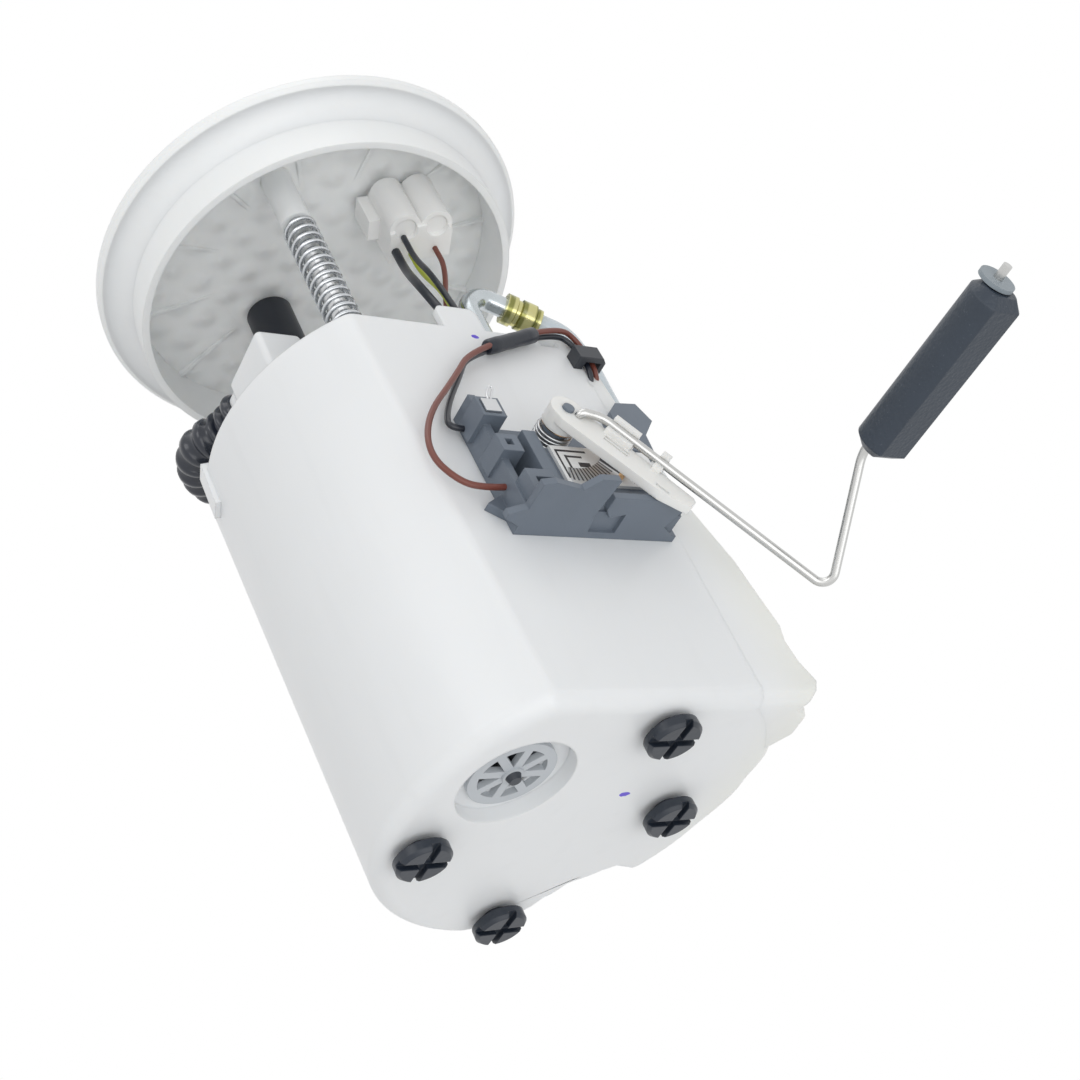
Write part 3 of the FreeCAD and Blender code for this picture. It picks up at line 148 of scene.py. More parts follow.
class Graph:
    """The nodes of one material."""

    def __init__(self, name: str) -> None:
        """Start a material with a Principled shader."""
        self.material = bpy.data.materials.new(name)
        self.material.use_nodes = True
        self.tree = self.material.node_tree
        self.shader = self.tree.nodes["Principled BSDF"]

    def feed(self, socket: bpy.types.NodeSocket, value: Any) -> None:
        """Link a signal to a socket, or set the socket's own value."""
        if isinstance(value, Signal):
            self.tree.links.new(value.socket, socket)
        else:
            socket.default_value = value

    def add(self, kind: str, settings: dict[str, Any] | None = None, inputs: dict[Any, Any] | None = None,
            output: int | str = 0) -> Signal:
        """Add any node.

        Args:
            kind: The node's type.
            settings: Its own settings.
            inputs: Values or signals for its sockets, by name or place.
            output: The name or place of the output to read.

        Returns:
            That output.
        """
        node = self.tree.nodes.new(kind)
        for key, value in (settings or {}).items():
            setattr(node, key, value)
        for key, value in (inputs or {}).items():
            self.feed(node.inputs[key], value)
        return Signal(self, node.outputs[output])

    def vector(self, operation: str, inputs: dict[Any, Any], output: int | str = 0) -> Signal:
        """Put vectors through a Vector Math node."""
        return self.add("ShaderNodeVectorMath", {"operation": operation}, inputs, output)

    def set(self, socket: str, value: Any) -> None:
        """Feed one of the shader's sockets."""
        self.feed(self.shader.inputs[socket], value)

    def place(self, stretch: Point = (1.0, 1.0, 1.0)) -> Signal:
        """Object coordinates, stretched along the axes."""
        spot = self.add("ShaderNodeTexCoord", output="Object")
        if stretch == (1.0, 1.0, 1.0):
            return spot
        return self.add("ShaderNodeMapping", inputs={"Vector": spot, "Scale": stretch})

    def axes(self, spot: Signal) -> tuple[Signal, Signal, Signal]:
        """The three numbers of a vector."""
        first = self.add("ShaderNodeSeparateXYZ", inputs={0: spot})
        node = first.socket.node
        return first, Signal(self, node.outputs[1]), Signal(self, node.outputs[2])

    def noise(self, spot: Signal, size: float, detail: float = 3.0) -> Signal:
        """Noise from 0 to 1 with features of about a size in metres."""
        return self.add("ShaderNodeTexNoise", inputs={"Vector": spot, "Scale": 1.0 / size, "Detail": detail})

    def near(self, spot: Signal, centre: Point, reach: Point) -> Signal:
        """One inside an ellipsoid about a point."""
        shift = self.vector("SUBTRACT", {0: spot, 1: centre})
        share = self.vector("DIVIDE", {0: shift, 1: reach})
        return self.vector("LENGTH", {0: share}, "Value").below(1.0)

    def blend(self, share: Any, first: Any, second: Any) -> Signal:
        """Two colours mixed."""
        inputs = {0: share, 6: first, 7: second}
        inputs = {key: (*value, 1.0) if isinstance(value, tuple) else value for key, value in inputs.items()}
        return self.add("ShaderNodeMix", {"data_type": "RGBA"}, inputs, 2)

    def lighten(self, colour: Any, share: Signal) -> Signal:
        """A colour times a number."""
        return self.vector("SCALE", {0: colour, "Scale": share})


# Finishes

# How large a rough patch is against a cloud, how far light passes under a milky skin, in metres, and
# how finely a softened edge is sampled.
PATCH_PER_CLOUD = 0.35
MILK_RADIUS = (1.0, 0.9, 0.8)
MILK_DEPTH = 0.003
EDGE_SAMPLES = 4


@dataclass(frozen=True)
class Finish:
    """One finish: its colour, gloss, cloudiness, fine grain and the softness of its edges.

    Sizes are in metres. Cloud is the share by which the colour drifts, patch the share by which the
    roughness does, grain the height of the bump and milk the share of light that passes under the skin.
    """

    name: str
    colour: Colour
    rough: float
    metal: float = 0.0
    coat: float = 0.0
    milk: float = 0.0
    cloud: float = 0.03
    cloud_size: float = 0.03
    grain: float = 0.00002
    grain_size: float = 0.0012
    patch: float = 0.12
    edge: float = 0.0
    stretch: Point = (1.0, 1.0, 1.0)

    def paint(self, graph: Graph, spot: Signal, base: Signal) -> Signal:
        """Colour drawn on the finish, where it has any."""
        return base

    def relief(self, graph: Graph, spot: Signal, height: Signal) -> Signal:
        """Height in metres added to the grain, where the finish has any."""
        return height

    def build(self) -> bpy.types.Material:
        """Make the material.

        Returns:
            The material, whose colour, roughness and normal vary over the surface.
        """
        graph = Graph(self.name)
        spot = graph.place()
        grained = graph.place(self.stretch)
        fine = graph.noise(grained, self.grain_size)
        drift = graph.noise(grained, self.cloud_size)
        base = graph.lighten(self.colour, 1.0 + (drift - 0.5) * (2 * self.cloud))
        graph.set("Base Color", self.paint(graph, spot, base))
        worn = graph.noise(grained, self.cloud_size * PATCH_PER_CLOUD) - 0.5
        graph.set("Roughness", self.rough * (1.0 + worn * (2 * self.patch)))
        graph.set("Metallic", self.metal)
        graph.set("Coat Weight", self.coat)
        if self.milk:
            graph.set("Subsurface Weight", self.milk)
            graph.set("Subsurface Radius", MILK_RADIUS)
            graph.set("Subsurface Scale", MILK_DEPTH)
        bump = {"Height": self.relief(graph, spot, fine * self.grain), "Distance": 1.0, "Strength": 1.0}
        if self.edge:
            bump["Normal"] = graph.add("ShaderNodeBevel", {"samples": EDGE_SAMPLES}, {"Radius": self.edge})
        graph.set("Normal", graph.add("ShaderNodeBump", inputs=bump))
        return graph.material


@dataclass(frozen=True)
class InkedPlastic(Finish):
    """White moulding with a few small inspection dabs of ink and faint upright flow marks."""

    dabs: tuple[tuple[Point, Point, Colour], ...] = ()
    ragged: float = 0.0007
    flow: float = 0.018
    warm: float = 0.0
    warm_from: float = 0.028
    warm_to: float = 0.052
    warm_tone: Colour = (0.83, 0.83, 0.74)

    def paint(self, graph: Graph, spot: Signal, base: Signal) -> Signal:
        """Faint flow marks, a warmer tone towards the feed side, and the dabs."""
        marks = graph.noise(graph.place((1.0, 1.0, 0.12)), 0.006)
        base = graph.lighten(base, 1.0 - marks.ramp(0.5, 0.8) * self.flow)
        if self.warm:
            across = graph.axes(spot)[0]
            base = graph.blend(across.ramp(self.warm_from, self.warm_to) * self.warm, base, self.warm_tone)
        for centre, reach, ink in self.dabs:
            wobble = graph.noise(spot, 0.0008) * self.ragged
            loose = graph.vector("ADD", {0: spot, 1: wobble})
            base = graph.blend(graph.near(loose, centre, reach), base, ink)
        return base


@dataclass(frozen=True)
class PillowedLid(InkedPlastic):
    """The lid's underside: a cast of small pillows on the ceiling inside the skirt."""

    pitch: float = 0.0105
    slant: float = 0.35
    rise: float = 0.0011
    skirt: float = 0.0538
    low: float = -0.0012
    high: float = 0.0016

    def relief(self, graph: Graph, spot: Signal, height: Signal) -> Signal:
        """Pillows that stand on the ceiling only."""
        across, along, up = graph.axes(spot)
        reach = (across ** 2.0 + along ** 2.0) ** 0.5
        inside = up.above(self.low) * up.below(self.high) * reach.below(self.skirt)
        rows = (across + along * self.slant).wave(self.pitch)
        pillows = rows * (along - across * self.slant).wave(self.pitch)
        return height + inside * pillows * self.rise


PRINT_BLACK = (0.03, 0.03, 0.035)


@dataclass(frozen=True)
class PrintedCard(Finish):
    """The white ceramic card with its black tracks, resistor block and solder spots.

    A print is given by its left, low, right and high edges, and a solder spot by its centre and reach.
    """

    face: float = -0.0504
    prints: tuple[tuple[float, float, float, float], ...] = (
        (-0.0026, -0.1314, 0.0066, -0.1307), (-0.0027, -0.1405, -0.0021, -0.1309),
        (-0.0006, -0.1392, 0.0001, -0.1325), (-0.0006, -0.1333, 0.0046, -0.1326),
        (0.0168, -0.1409, 0.0252, -0.1404), (0.0026, -0.1364, 0.0061, -0.1348),
        (0.0012, -0.1412, 0.0041, -0.1396))
    solders: tuple[tuple[Point, Point], ...] = (
        ((-0.0008, -0.0505, -0.1405), (0.0013, 0.002, 0.0009)),
        ((0.0222, -0.0505, -0.1393), (0.0016, 0.002, 0.0008)))

    def paint(self, graph: Graph, spot: Signal, base: Signal) -> Signal:
        """The black prints on the card's front, and the solder over them."""
        across, depth, up = graph.axes(spot)
        front = depth.below(self.face)

        def box(left: float, low: float, right: float, high: float) -> Signal:
            """One inside an upright rectangle of the card's face."""
            return across.above(left) * across.below(right) * up.above(low) * up.below(high)

        black = box(*self.prints[0])
        for area in self.prints[1:]:
            black = black.most(box(*area))
        base = graph.blend(black * front, base, PRINT_BLACK)
        solder = graph.near(spot, *self.solders[0])
        for centre, reach in self.solders[1:]:
            solder = solder.most(graph.near(spot, centre, reach))
        return graph.blend(solder, base, (0.52, 0.54, 0.56))


@dataclass(frozen=True)
class ToothedComb(Finish):
    """The printed contact arc: fine silver teeth that fan out from the pivot, dark between them."""

    pivot: tuple[float, float] = (0.0005, -0.1243)
    teeth: int = 84
    gap_level: float = 0.62
    teeth_reach: float = 0.0172
    dark_from: float = -47.0

    def paint(self, graph: Graph, spot: Signal, base: Signal) -> Signal:
        """Dark gaps by the angle about the pivot, and a black stretch at the far end."""
        across, _, up = graph.axes(spot)
        angle = (up - self.pivot[1]).maths("ARCTAN2", across - self.pivot[0])
        gaps = angle.wave(2 * math.pi / self.teeth).above(self.gap_level)
        reach = ((across - self.pivot[0]) ** 2.0 + (up - self.pivot[1]) ** 2.0) ** 0.5
        gaps = gaps * reach.below(self.teeth_reach)
        base = graph.blend(gaps, base, (0.10, 0.10, 0.11))
        return graph.blend(angle.above(math.radians(self.dark_from)), base, PRINT_BLACK)


@dataclass(frozen=True)
class PlatedFerrule(Finish):
    """Yellow passivated steel with darker rings, cut across the feed line's slope."""

    start: Point = (0.031, -0.030, -0.0484)
    ahead: Point = (0.889, 0.0, -0.457)
    ring_pitch: float = 0.0042
    olive: Colour = (0.24, 0.24, 0.08)
    tint: Colour = (0.60, 0.60, 0.42)

    def paint(self, graph: Graph, spot: Signal, base: Signal) -> Signal:
        """Rings of olive and rainbow tint along the ferrule."""
        shift = graph.vector("SUBTRACT", {0: spot, 1: self.start})
        along = graph.vector("DOT_PRODUCT", {0: shift, 1: self.ahead}, "Value")
        base = graph.blend(along.wave(self.ring_pitch).ramp(0.5, 0.9), base, self.olive)
        return graph.blend(graph.noise(spot, 0.003).ramp(0.5, 0.7) * 0.5, base, self.tint)


@dataclass(frozen=True)
class FoamSkin(Finish):
    """Closed cell foam: dark blue-grey with fine pits and pale dust."""

    cells_per_metre: float = 1100.0
    pit: float = 0.00007
    dust: float = 0.10

    def paint(self, graph: Graph, spot: Signal, base: Signal) -> Signal:
        """Pale specks of dust on the skin."""
        specks = graph.noise(spot, 0.0006, 1.0).ramp(0.68, 0.78) * self.dust
        return graph.blend(specks, base, (0.30, 0.34, 0.38))

    def relief(self, graph: Graph, spot: Signal, height: Signal) -> Signal:
        """Pits of the foam's cells."""
        cells = graph.add("ShaderNodeTexVoronoi", inputs={"Vector": spot, "Scale": self.cells_per_metre})
        return height + cells * self.pit


WHITE = (0.80, 0.815, 0.825)
VIOLET = (0.10, 0.05, 0.62)
INK_GREY = (0.05, 0.06, 0.07)

POT_DABS = (((0.0089, -0.0066, -0.201), (0.0017, 0.0009, 0.0008), VIOLET),
            ((-0.0159, -0.0191, -0.201), (0.0008, 0.0007, 0.0008), INK_GREY),
            ((0.0022, -0.0417, -0.0787), (0.0013, 0.0009, 0.0008), VIOLET))
BLOCK_DABS = (((0.0199, -0.035, -0.015), (0.0016, 0.004, 0.0009), VIOLET),)


class Finishes:
    """Every finish of the module, built once and handed out by node or piece."""

    WHITES = {
        "pot": InkedPlastic("white_pot_plastic", WHITE, 0.34, milk=0.25, edge=0.0007, cloud=0.02, warm=0.55,
                            cloud_size=0.05, grain=0.000006, dabs=POT_DABS),
        "lid": PillowedLid("white_lid_plastic", (0.87, 0.885, 0.885), 0.38, milk=0.25, edge=0.0006,
                           cloud=0.02, cloud_size=0.05, grain=0.000006),
        "rim": InkedPlastic("white_rim_plastic", (0.83, 0.845, 0.85), 0.38, milk=0.25, cloud=0.02,
                            grain=0.000006),
        "block": InkedPlastic("white_plug_plastic", (0.90, 0.90, 0.89), 0.40, milk=0.2, edge=0.0004,
                              grain=0.000008, dabs=BLOCK_DABS),
        "cover": InkedPlastic("white_cover_plastic", WHITE, 0.40, milk=0.25, edge=0.0006, grain=0.000008),
        "arm": Finish("natural_arm_plastic", (0.80, 0.80, 0.78), 0.32, milk=0.35, edge=0.0003,
                      grain=0.000006),
        "feed": Finish("clear_feed_tube", (0.56, 0.62, 0.66), 0.22, coat=0.3, milk=0.4, grain=0.000004),
    }
    RUBBERS = {
        "foot": Finish("black_foot_rubber", (0.013, 0.019, 0.030), 0.36, cloud=0.25, edge=0.0004,
                       grain=0.00003),
        "hose": Finish("navy_hose_plastic", (0.009, 0.013, 0.024), 0.28, coat=0.25, cloud=0.2, grain=0.00001),
        "cuff": Finish("black_cuff_rubber", (0.007, 0.010, 0.018), 0.42, cloud=0.2, edge=0.0005),
        "sleeve": Finish("shrink_sleeve", (0.010, 0.014, 0.024), 0.34, cloud=0.2, edge=0.0004, grain=0.00008,
                         grain_size=0.0018),
        "flap": Finish("umbrella_rubber", (0.03, 0.035, 0.045), 0.5),
        "damper": Finish("damper_rubber", (0.02, 0.02, 0.022), 0.6, grain=0.00003),
    }
    METALS = {
        "steel": Finish("polished_rod_steel", (0.60, 0.61, 0.62), 0.24, metal=1.0, grain=0.000004,
                        grain_size=0.0006, stretch=(1.0, 1.0, 0.1), patch=0.3),
        "wire": Finish("float_wire_steel", (0.55, 0.55, 0.54), 0.28, metal=1.0, cloud=0.08, grain=0.000012,
                       patch=0.3),
        "spring": Finish("zinc_spring_wire", (0.56, 0.58, 0.60), 0.26, metal=1.0, cloud=0.10,
                         cloud_size=0.004, grain=0.00001, patch=0.3),
        "dark_spring": Finish("pivot_spring_wire", (0.46, 0.47, 0.48), 0.30, metal=1.0, cloud=0.1,
                              grain=0.00001),
        "zinc": Finish("zinc_elbow_plate", (0.52, 0.56, 0.58), 0.26, metal=1.0, cloud=0.15, cloud_size=0.006,
                       grain=0.00001, patch=0.35),
        "ferrule": PlatedFerrule("yellow_plated_steel", (0.56, 0.53, 0.25), 0.24, metal=1.0, grain=0.000008),
        "terminal": Finish("tin_terminal", (0.62, 0.63, 0.64), 0.28, metal=1.0, edge=0.0002, grain=0.00001),
        "wiper": Finish("copper_wiper", (0.80, 0.50, 0.26), 0.26, metal=1.0, cloud=0.12, cloud_size=0.003,
                        grain=0.000006),
        "comb": ToothedComb("silver_contact_comb", (0.60, 0.61, 0.62), 0.34, metal=0.8, grain=0.000008),
        "casing": Finish("pump_casing_steel", (0.50, 0.51, 0.52), 0.32, metal=1.0, grain=0.00001,
                         stretch=(1.0, 1.0, 0.15)),
        "copper": Finish("armature_copper", (0.66, 0.34, 0.18), 0.38, metal=1.0, grain=0.00003),
        "magnet": Finish("magnet_ferrite", (0.09, 0.09, 0.10), 0.6, grain=0.00004),
        "tin": Finish("socket_blade_tin", (0.62, 0.60, 0.54), 0.28, metal=1.0, grain=0.00001),
    }
    PLASTICS = {
        "bracket": Finish("grey_sender_plastic", (0.135, 0.162, 0.200), 0.42, cloud=0.08, cloud_size=0.012,
                          edge=0.0004, grain_size=0.0005),
        "hook": Finish("dark_hook_plastic", (0.03, 0.034, 0.042), 0.40, cloud=0.1, edge=0.0003),
        "pump": Finish("black_pump_plastic", (0.03, 0.03, 0.032), 0.45, edge=0.0004),
        "valve": Finish("grey_valve_plastic", (0.50, 0.53, 0.56), 0.42, edge=0.0003, grain=0.00001),
        "mesh": Finish("strainer_mesh", (0.55, 0.53, 0.46), 0.8, grain=0.0002, grain_size=0.0007),
        "card": PrintedCard("ceramic_card", (0.82, 0.83, 0.83), 0.45, edge=0.0001, grain=0.000008),
        "foam": FoamSkin("float_foam", (0.024, 0.035, 0.052), 0.42, cloud=0.16, cloud_size=0.008, edge=0.0007,
                         grain=0.00004, grain_size=0.0009),
        "washer": Finish("float_washer_plastic", (0.24, 0.28, 0.31), 0.42, edge=0.0002, grain=0.00001),
    }
    WIRES = {
        "black": Finish("black_wire_sheath", (0.008, 0.011, 0.019), 0.34, coat=0.15, cloud=0.2,
                        grain=0.00001),
        "yellow": Finish("lime_wire_sheath", (0.48, 0.55, 0.04), 0.38, cloud=0.1, grain=0.00001),
        "brown": Finish("brown_wire_sheath", (0.165, 0.046, 0.032), 0.36, cloud=0.14, grain=0.00001),
    }
    BY_NODE = {
        "flange": "lid", "connector_housing": "block", "socket_pins": "tin", "guide_rod": "steel",
        "rod_clip": "terminal", "reservoir_pot": "pot", "rubber_foot": "foot", "inlet_valve_ring": "valve",
        "umbrella_valve": "flap", "pot_cover": "cover", "pump_casing": "casing", "pump_inlet_cap": "pump",
        "pump_outlet_cap": "pump", "pump_magnet_ring": "magnet", "pump_armature": "copper",
        "pump_impeller": "pump", "pump_damper": "damper", "inlet_strainer": "mesh", "jet_pump_body": "cover",
        "jet_feed_elbow": "zinc", "elbow_ferrule": "ferrule", "jet_feed_tube": "feed", "outlet_hose": "hose",
        "hose_cuff": "cuff", "harness_grommet": "cuff", "harness_ground": "black", "harness_black": "black",
        "harness_yellow": "yellow", "harness_brown": "brown", "sender_bracket": "bracket",
        "resistor_card": "card", "card_comb": "comb", "sender_terminal": "terminal",
        "pivot_spring": "dark_spring", "guide_spring": "spring", "arm_carrier": "arm", "wiper": "wiper",
        "float_wire": "wire", "float_washer": "washer", "float_body": "foam", "sender_lead_black": "black",
        "sender_lead_brown": "brown", "lead_sleeve": "sleeve", "lead_hook": "hook",
    }

    def __init__(self) -> None:
        """Build every material."""
        groups = (self.WHITES, self.RUBBERS, self.METALS, self.PLASTICS, self.WIRES)
        self.made = {key: finish.build() for group in groups for key, finish in group.items()}

    def dress(self, piece: bpy.types.Object, key: str) -> None:
        """Give a piece one finish all over."""
        piece.data.materials.clear()
        piece.data.materials.append(self.made[key])

    def dress_nodes(self, nodes: dict[str, bpy.types.Object]) -> None:
        """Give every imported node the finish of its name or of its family."""
        for name, node in nodes.items():
            family = name if name in self.BY_NODE else name.rsplit("_", 1)[0]
            self.dress(node, self.BY_NODE[family])
            LOG.info("node %s: %s", name, self.BY_NODE[family])


# Modelling helpers

# How near two points are to be one, in metres, and the angle in degrees up to which a solid is smooth.
SHELL_MERGE = 0.00001
SOLID_MERGE = 0.000004
SOLID_SMOOTH = 32.0


def start_fresh() -> None:
    """Deselect everything."""
    bpy.ops.object.select_all(action="DESELECT")


def pick(piece: bpy.types.Object) -> None:
    """Select one piece alone and make it active."""
    start_fresh()
    piece.select_set(True)
    bpy.context.view_layer.objects.active = piece


def settle(piece: bpy.types.Object, name: str) -> bpy.types.Object:
    """Name a piece and put its place, turn and scale into its mesh."""
    pick(piece)
    bpy.ops.object.transform_apply(location=True, rotation=True, scale=True)
    piece.name = name
    piece.data.name = name
    return piece


def apply_modifiers(piece: bpy.types.Object) -> None:
    """Apply a piece's modifiers in order."""
    pick(piece)
    for modifier in list(piece.modifiers):
        bpy.ops.object.modifier_apply(modifier=modifier.name)


def smooth_sides(piece: bpy.types.Object, angle: float) -> None:
    """Shade a piece smooth wherever its faces meet at less than an angle in degrees."""
    pick(piece)
    bpy.ops.object.shade_smooth_by_angle(angle=math.radians(angle))


def copy_solid(solid: bpy.types.Object, name: str, cuts: tuple[float, ...] = ()) -> bpy.types.Object:
    """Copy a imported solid, merge its doubled points and cut level rings round it.

    Args:
        solid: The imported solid.
        name: The copy's name.
        cuts: The rings' heights in metres.

    Returns:
        The copy, whose points can then be moved.
    """
    piece = add_object(name, solid.data.copy())
    pick(piece)
    bpy.ops.mesh.customdata_custom_splitnormals_clear()
    bpy.ops.object.mode_set(mode="EDIT")
    bpy.ops.mesh.select_all(action="SELECT")
    bpy.ops.mesh.remove_doubles(threshold=SOLID_MERGE)
    for height in cuts:
        bpy.ops.mesh.select_all(action="SELECT")
        bpy.ops.mesh.bisect(plane_co=(0, 0, height), plane_no=(0, 0, 1))
    bpy.ops.object.mode_set(mode="OBJECT")
    return piece


def close_shell(piece: bpy.types.Object, smooth: float = 40.0) -> None:
    """Merge doubles, cap open ends, point the faces outwards and smooth the sides.

    Args:
        piece: The mesh to finish.
        smooth: The largest angle that is shaded smooth, in degrees.
    """
    pick(piece)
    bpy.ops.object.mode_set(mode="EDIT")
    bpy.ops.mesh.select_all(action="SELECT")
    bpy.ops.mesh.remove_doubles(threshold=SHELL_MERGE)
    bpy.ops.mesh.fill_holes(sides=0)
    bpy.ops.mesh.select_all(action="SELECT")
    bpy.ops.mesh.normals_make_consistent(inside=False)
    bpy.ops.object.mode_set(mode="OBJECT")
    smooth_sides(piece, smooth)


def add_object(name: str, data: Any) -> bpy.types.Object:
    """Put new data in the scene, at the origin."""
    piece = bpy.data.objects.new(name, data)
    bpy.context.scene.collection.objects.link(piece)
    return piece


def smooth_line(name: str, route: list[Point], radius: float = 0.0, closed: bool = False) -> bpy.types.Object:
    """A NURBS line with a route's points as its control points.

    Args:
        name: The piece's name.
        route: Points in millimetres.
        radius: Half the thickness in metres, or 0 for a bare line.
        closed: Whether the line joins its own start.

    Returns:
        The curve, at the origin.
    """
    data = bpy.data.curves.new(name, "CURVE")
    data.dimensions = "3D"
    data.resolution_u = 12
    data.bevel_depth = radius
    data.bevel_resolution = 3
    data.use_fill_caps = True
    spline = data.splines.new("NURBS")
    spline.points.add(len(route) - 1)
    for point, spot in zip(spline.points, route):
        point.co = (*(value * MM for value in spot), 1.0)
    spline.order_u = 3
    spline.use_endpoint_u = not closed
    spline.use_cyclic_u = closed
    return add_object(name, data)


def as_mesh(piece: bpy.types.Object) -> bpy.types.Object:
    """Turn a curve with a thickness into a closed, smooth mesh."""
    pick(piece)
    bpy.ops.object.convert(target="MESH")
    made = bpy.context.view_layer.objects.active
    close_shell(made)
    return made


def coil(name: str, radius: float, wire: float, pitch: float, turns: float, steps: int = 30,
         sides: int = 10) -> bpy.types.Object:
    """A helix about Z from the origin up, turned from a ring of wire.

    Args:
        name: The piece's name.
        radius: The coil's mean radius in metres.
        wire: The wire's radius in metres.
        pitch: The rise of one turn in metres.
        turns: How many turns it has.
        steps: Sections in a turn.
        sides: Corners of the wire's ring.

    Returns:
        The closed mesh.
    """
    start_fresh()
    bpy.ops.mesh.primitive_circle_add(vertices=sides, radius=wire, location=(radius, 0, 0),
                                      rotation=(math.pi / 2, 0, 0))
    piece = settle(bpy.context.object, name)
    screw = piece.modifiers.new("turns", "SCREW")
    screw.angle = 2 * math.pi * turns
    screw.screw_offset = pitch * turns
    screw.steps = screw.render_steps = round(steps * turns)
    screw.use_smooth_shade = True
    apply_modifiers(piece)
    close_shell(piece, smooth=60.0)
    return piece


# Sub-assemblies


@dataclass
class OutletHose:
    """The ribbed hose that leads from the pot's hood round to the cuff under the lid."""

    route: list[Point] = field(default_factory=lambda: [
        (-40.4, 5.0, -60.6), (-40.4, 13.5, -60.6), (-46.8, 23.5, -57.6), (-40.5, 37.0, -56.0),
        (-25.0, 43.5, -54.5), (-10.0, 38.5, -50.0), (-8.0, 19.0, -36.0), (-8.0, 19.0, -24.0)])
    ridge: float = 0.0063
    valley: float = 0.0049
    shoulder: float = 0.0002
    pitch: float = 0.0044
    sides: int = 36

    def rib(self, pitch: float) -> bpy.types.Object:
        """One rib of the hose along X, drawn out ring by ring from the valley.

        Args:
            pitch: The length of a rib in metres.

        Returns:
            The open shell of one rib.
        """
        start_fresh()
        bpy.ops.mesh.primitive_circle_add(vertices=self.sides, radius=self.valley,
                                          rotation=(0, math.pi / 2, 0))
        piece = settle(bpy.context.object, "outlet_hose_ribbed")
        bpy.ops.object.mode_set(mode="EDIT")
        radius = self.valley
        middle = (self.valley + self.ridge) / 2 + self.shoulder
        for share, target in ((0.14, self.valley), (0.16, middle), (0.10, self.ridge), (0.26, self.ridge),
                              (0.10, middle), (0.16, self.valley), (0.08, self.valley)):
            bpy.ops.mesh.extrude_region_move(TRANSFORM_OT_translate={"value": (share * pitch, 0, 0)})
            scale = target / radius
            bpy.ops.transform.resize(value=(1.0, scale, scale))
            radius = target
        bpy.ops.object.mode_set(mode="OBJECT")
        return piece

    def build(self, finishes: Finishes) -> None:
        """Repeat the rib along the route, bend it and dress it."""
        guide = smooth_line("hose_guide", self.route)
        length = guide.data.splines[0].calc_length()
        count = round(length / self.pitch)
        pitch = length / count
        piece = self.rib(pitch)
        array = piece.modifiers.new("ribs", "ARRAY")
        array.count = count
        array.use_relative_offset = False
        array.use_constant_offset = True
        array.constant_offset_displace = (pitch, 0, 0)
        array.use_merge_vertices = True
        array.merge_threshold = 0.00002
        bend = piece.modifiers.new("bend", "CURVE")
        bend.object = guide
        bend.deform_axis = "POS_X"
        apply_modifiers(piece)
        bpy.data.objects.remove(guide)
        close_shell(piece, smooth=55.0)
        finishes.dress(piece, "hose")
        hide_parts("outlet_hose")
        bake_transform(piece)
        LOG.info("outlet hose: %d ribs over %.1f mm", count, length / MM)


@dataclass
class GuideSprings:
    """The two long springs that hold the lid off the pot."""

    axis: tuple[float, float] = (0.0242, 0.0274)
    low: float = -0.07745
    high: float = -0.0206
    radius: float = 0.00435
    wire: float = 0.0006
    pitch: float = 0.0033

    def build(self, finishes: Finishes) -> None:
        """Turn each coil and set it on its axis."""
        for name, side in (("front", -1.0), ("rear", 1.0)):
            piece = coil("guide_spring_wire_" + name, self.radius, self.wire, self.pitch,
                         (self.high - self.low) / self.pitch)
            piece.location = (side * self.axis[0], side * self.axis[1], self.low)
            settle(piece, "guide_spring_wire_" + name)
            finishes.dress(piece, "spring")
            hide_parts("guide_spring_" + name)
            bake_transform(piece)
            LOG.info("guide spring %s: %d faces", name, len(piece.data.polygons))


@dataclass
class HarnessWire:
    """One wire from the plug block down through the grommet."""

    key: str
    finish: str
    radius: float
    start: tuple[float, float]
    bends: list[Point]
    hole: tuple[float, float]
    socket: Point = (14.9, -28.9, -21.0)
    turn: float = -20.0
    sunk: float = 1.0
    straight: float = 9.0
    above_grommet: float = -66.0
    below_grommet: float = -81.5

    def route(self) -> list[Point]:
        """The wire's control points in millimetres."""
        turned = Matrix.Rotation(math.radians(self.turn), 3, "Z") @ Vector((*self.start, 0.0))
        out = turned + Vector(self.socket)
        leave = [(out.x, out.y, out.z + rise) for rise in (self.sunk, 0.0, -self.straight)]
        return leave + self.bends + [(*self.hole, self.above_grommet), (*self.hole, self.below_grommet)]

    def build(self, finishes: Finishes) -> None:
        """Make the wire on its route."""
        piece = as_mesh(smooth_line("harness_wire_" + self.key, self.route(), self.radius))
        finishes.dress(piece, self.finish)
        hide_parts("harness_" + self.key)
        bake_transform(piece)
        LOG.info("harness wire %s: %d faces", self.key, len(piece.data.polygons))


@dataclass
class Harness:
    """The four wires of the plug."""

    wires: list[HarnessWire] = field(default_factory=lambda: [
        HarnessWire("ground", "black", 0.0013, (-7.6, 1.8), [(2.4, -32.0, -46.0)], (4.7, -34.3)),
        HarnessWire("black", "black", 0.0009, (-5.2, -2.2), [(6.4, -34.6, -44.0)], (7.6, -35.7)),
        HarnessWire("yellow", "yellow", 0.0008, (-2.8, 3.4), [(9.8, -32.2, -48.0)], (8.7, -32.8)),
        HarnessWire("brown", "brown", 0.0008, (4.6, 2.6), [(14.0, -25.6, -47.0), (11.0, -28.4, -57.0)],
                    (5.9, -31.2))])

    def build(self, finishes: Finishes) -> None:
        """Make every wire."""
        for wire in self.wires:
            wire.build(finishes)


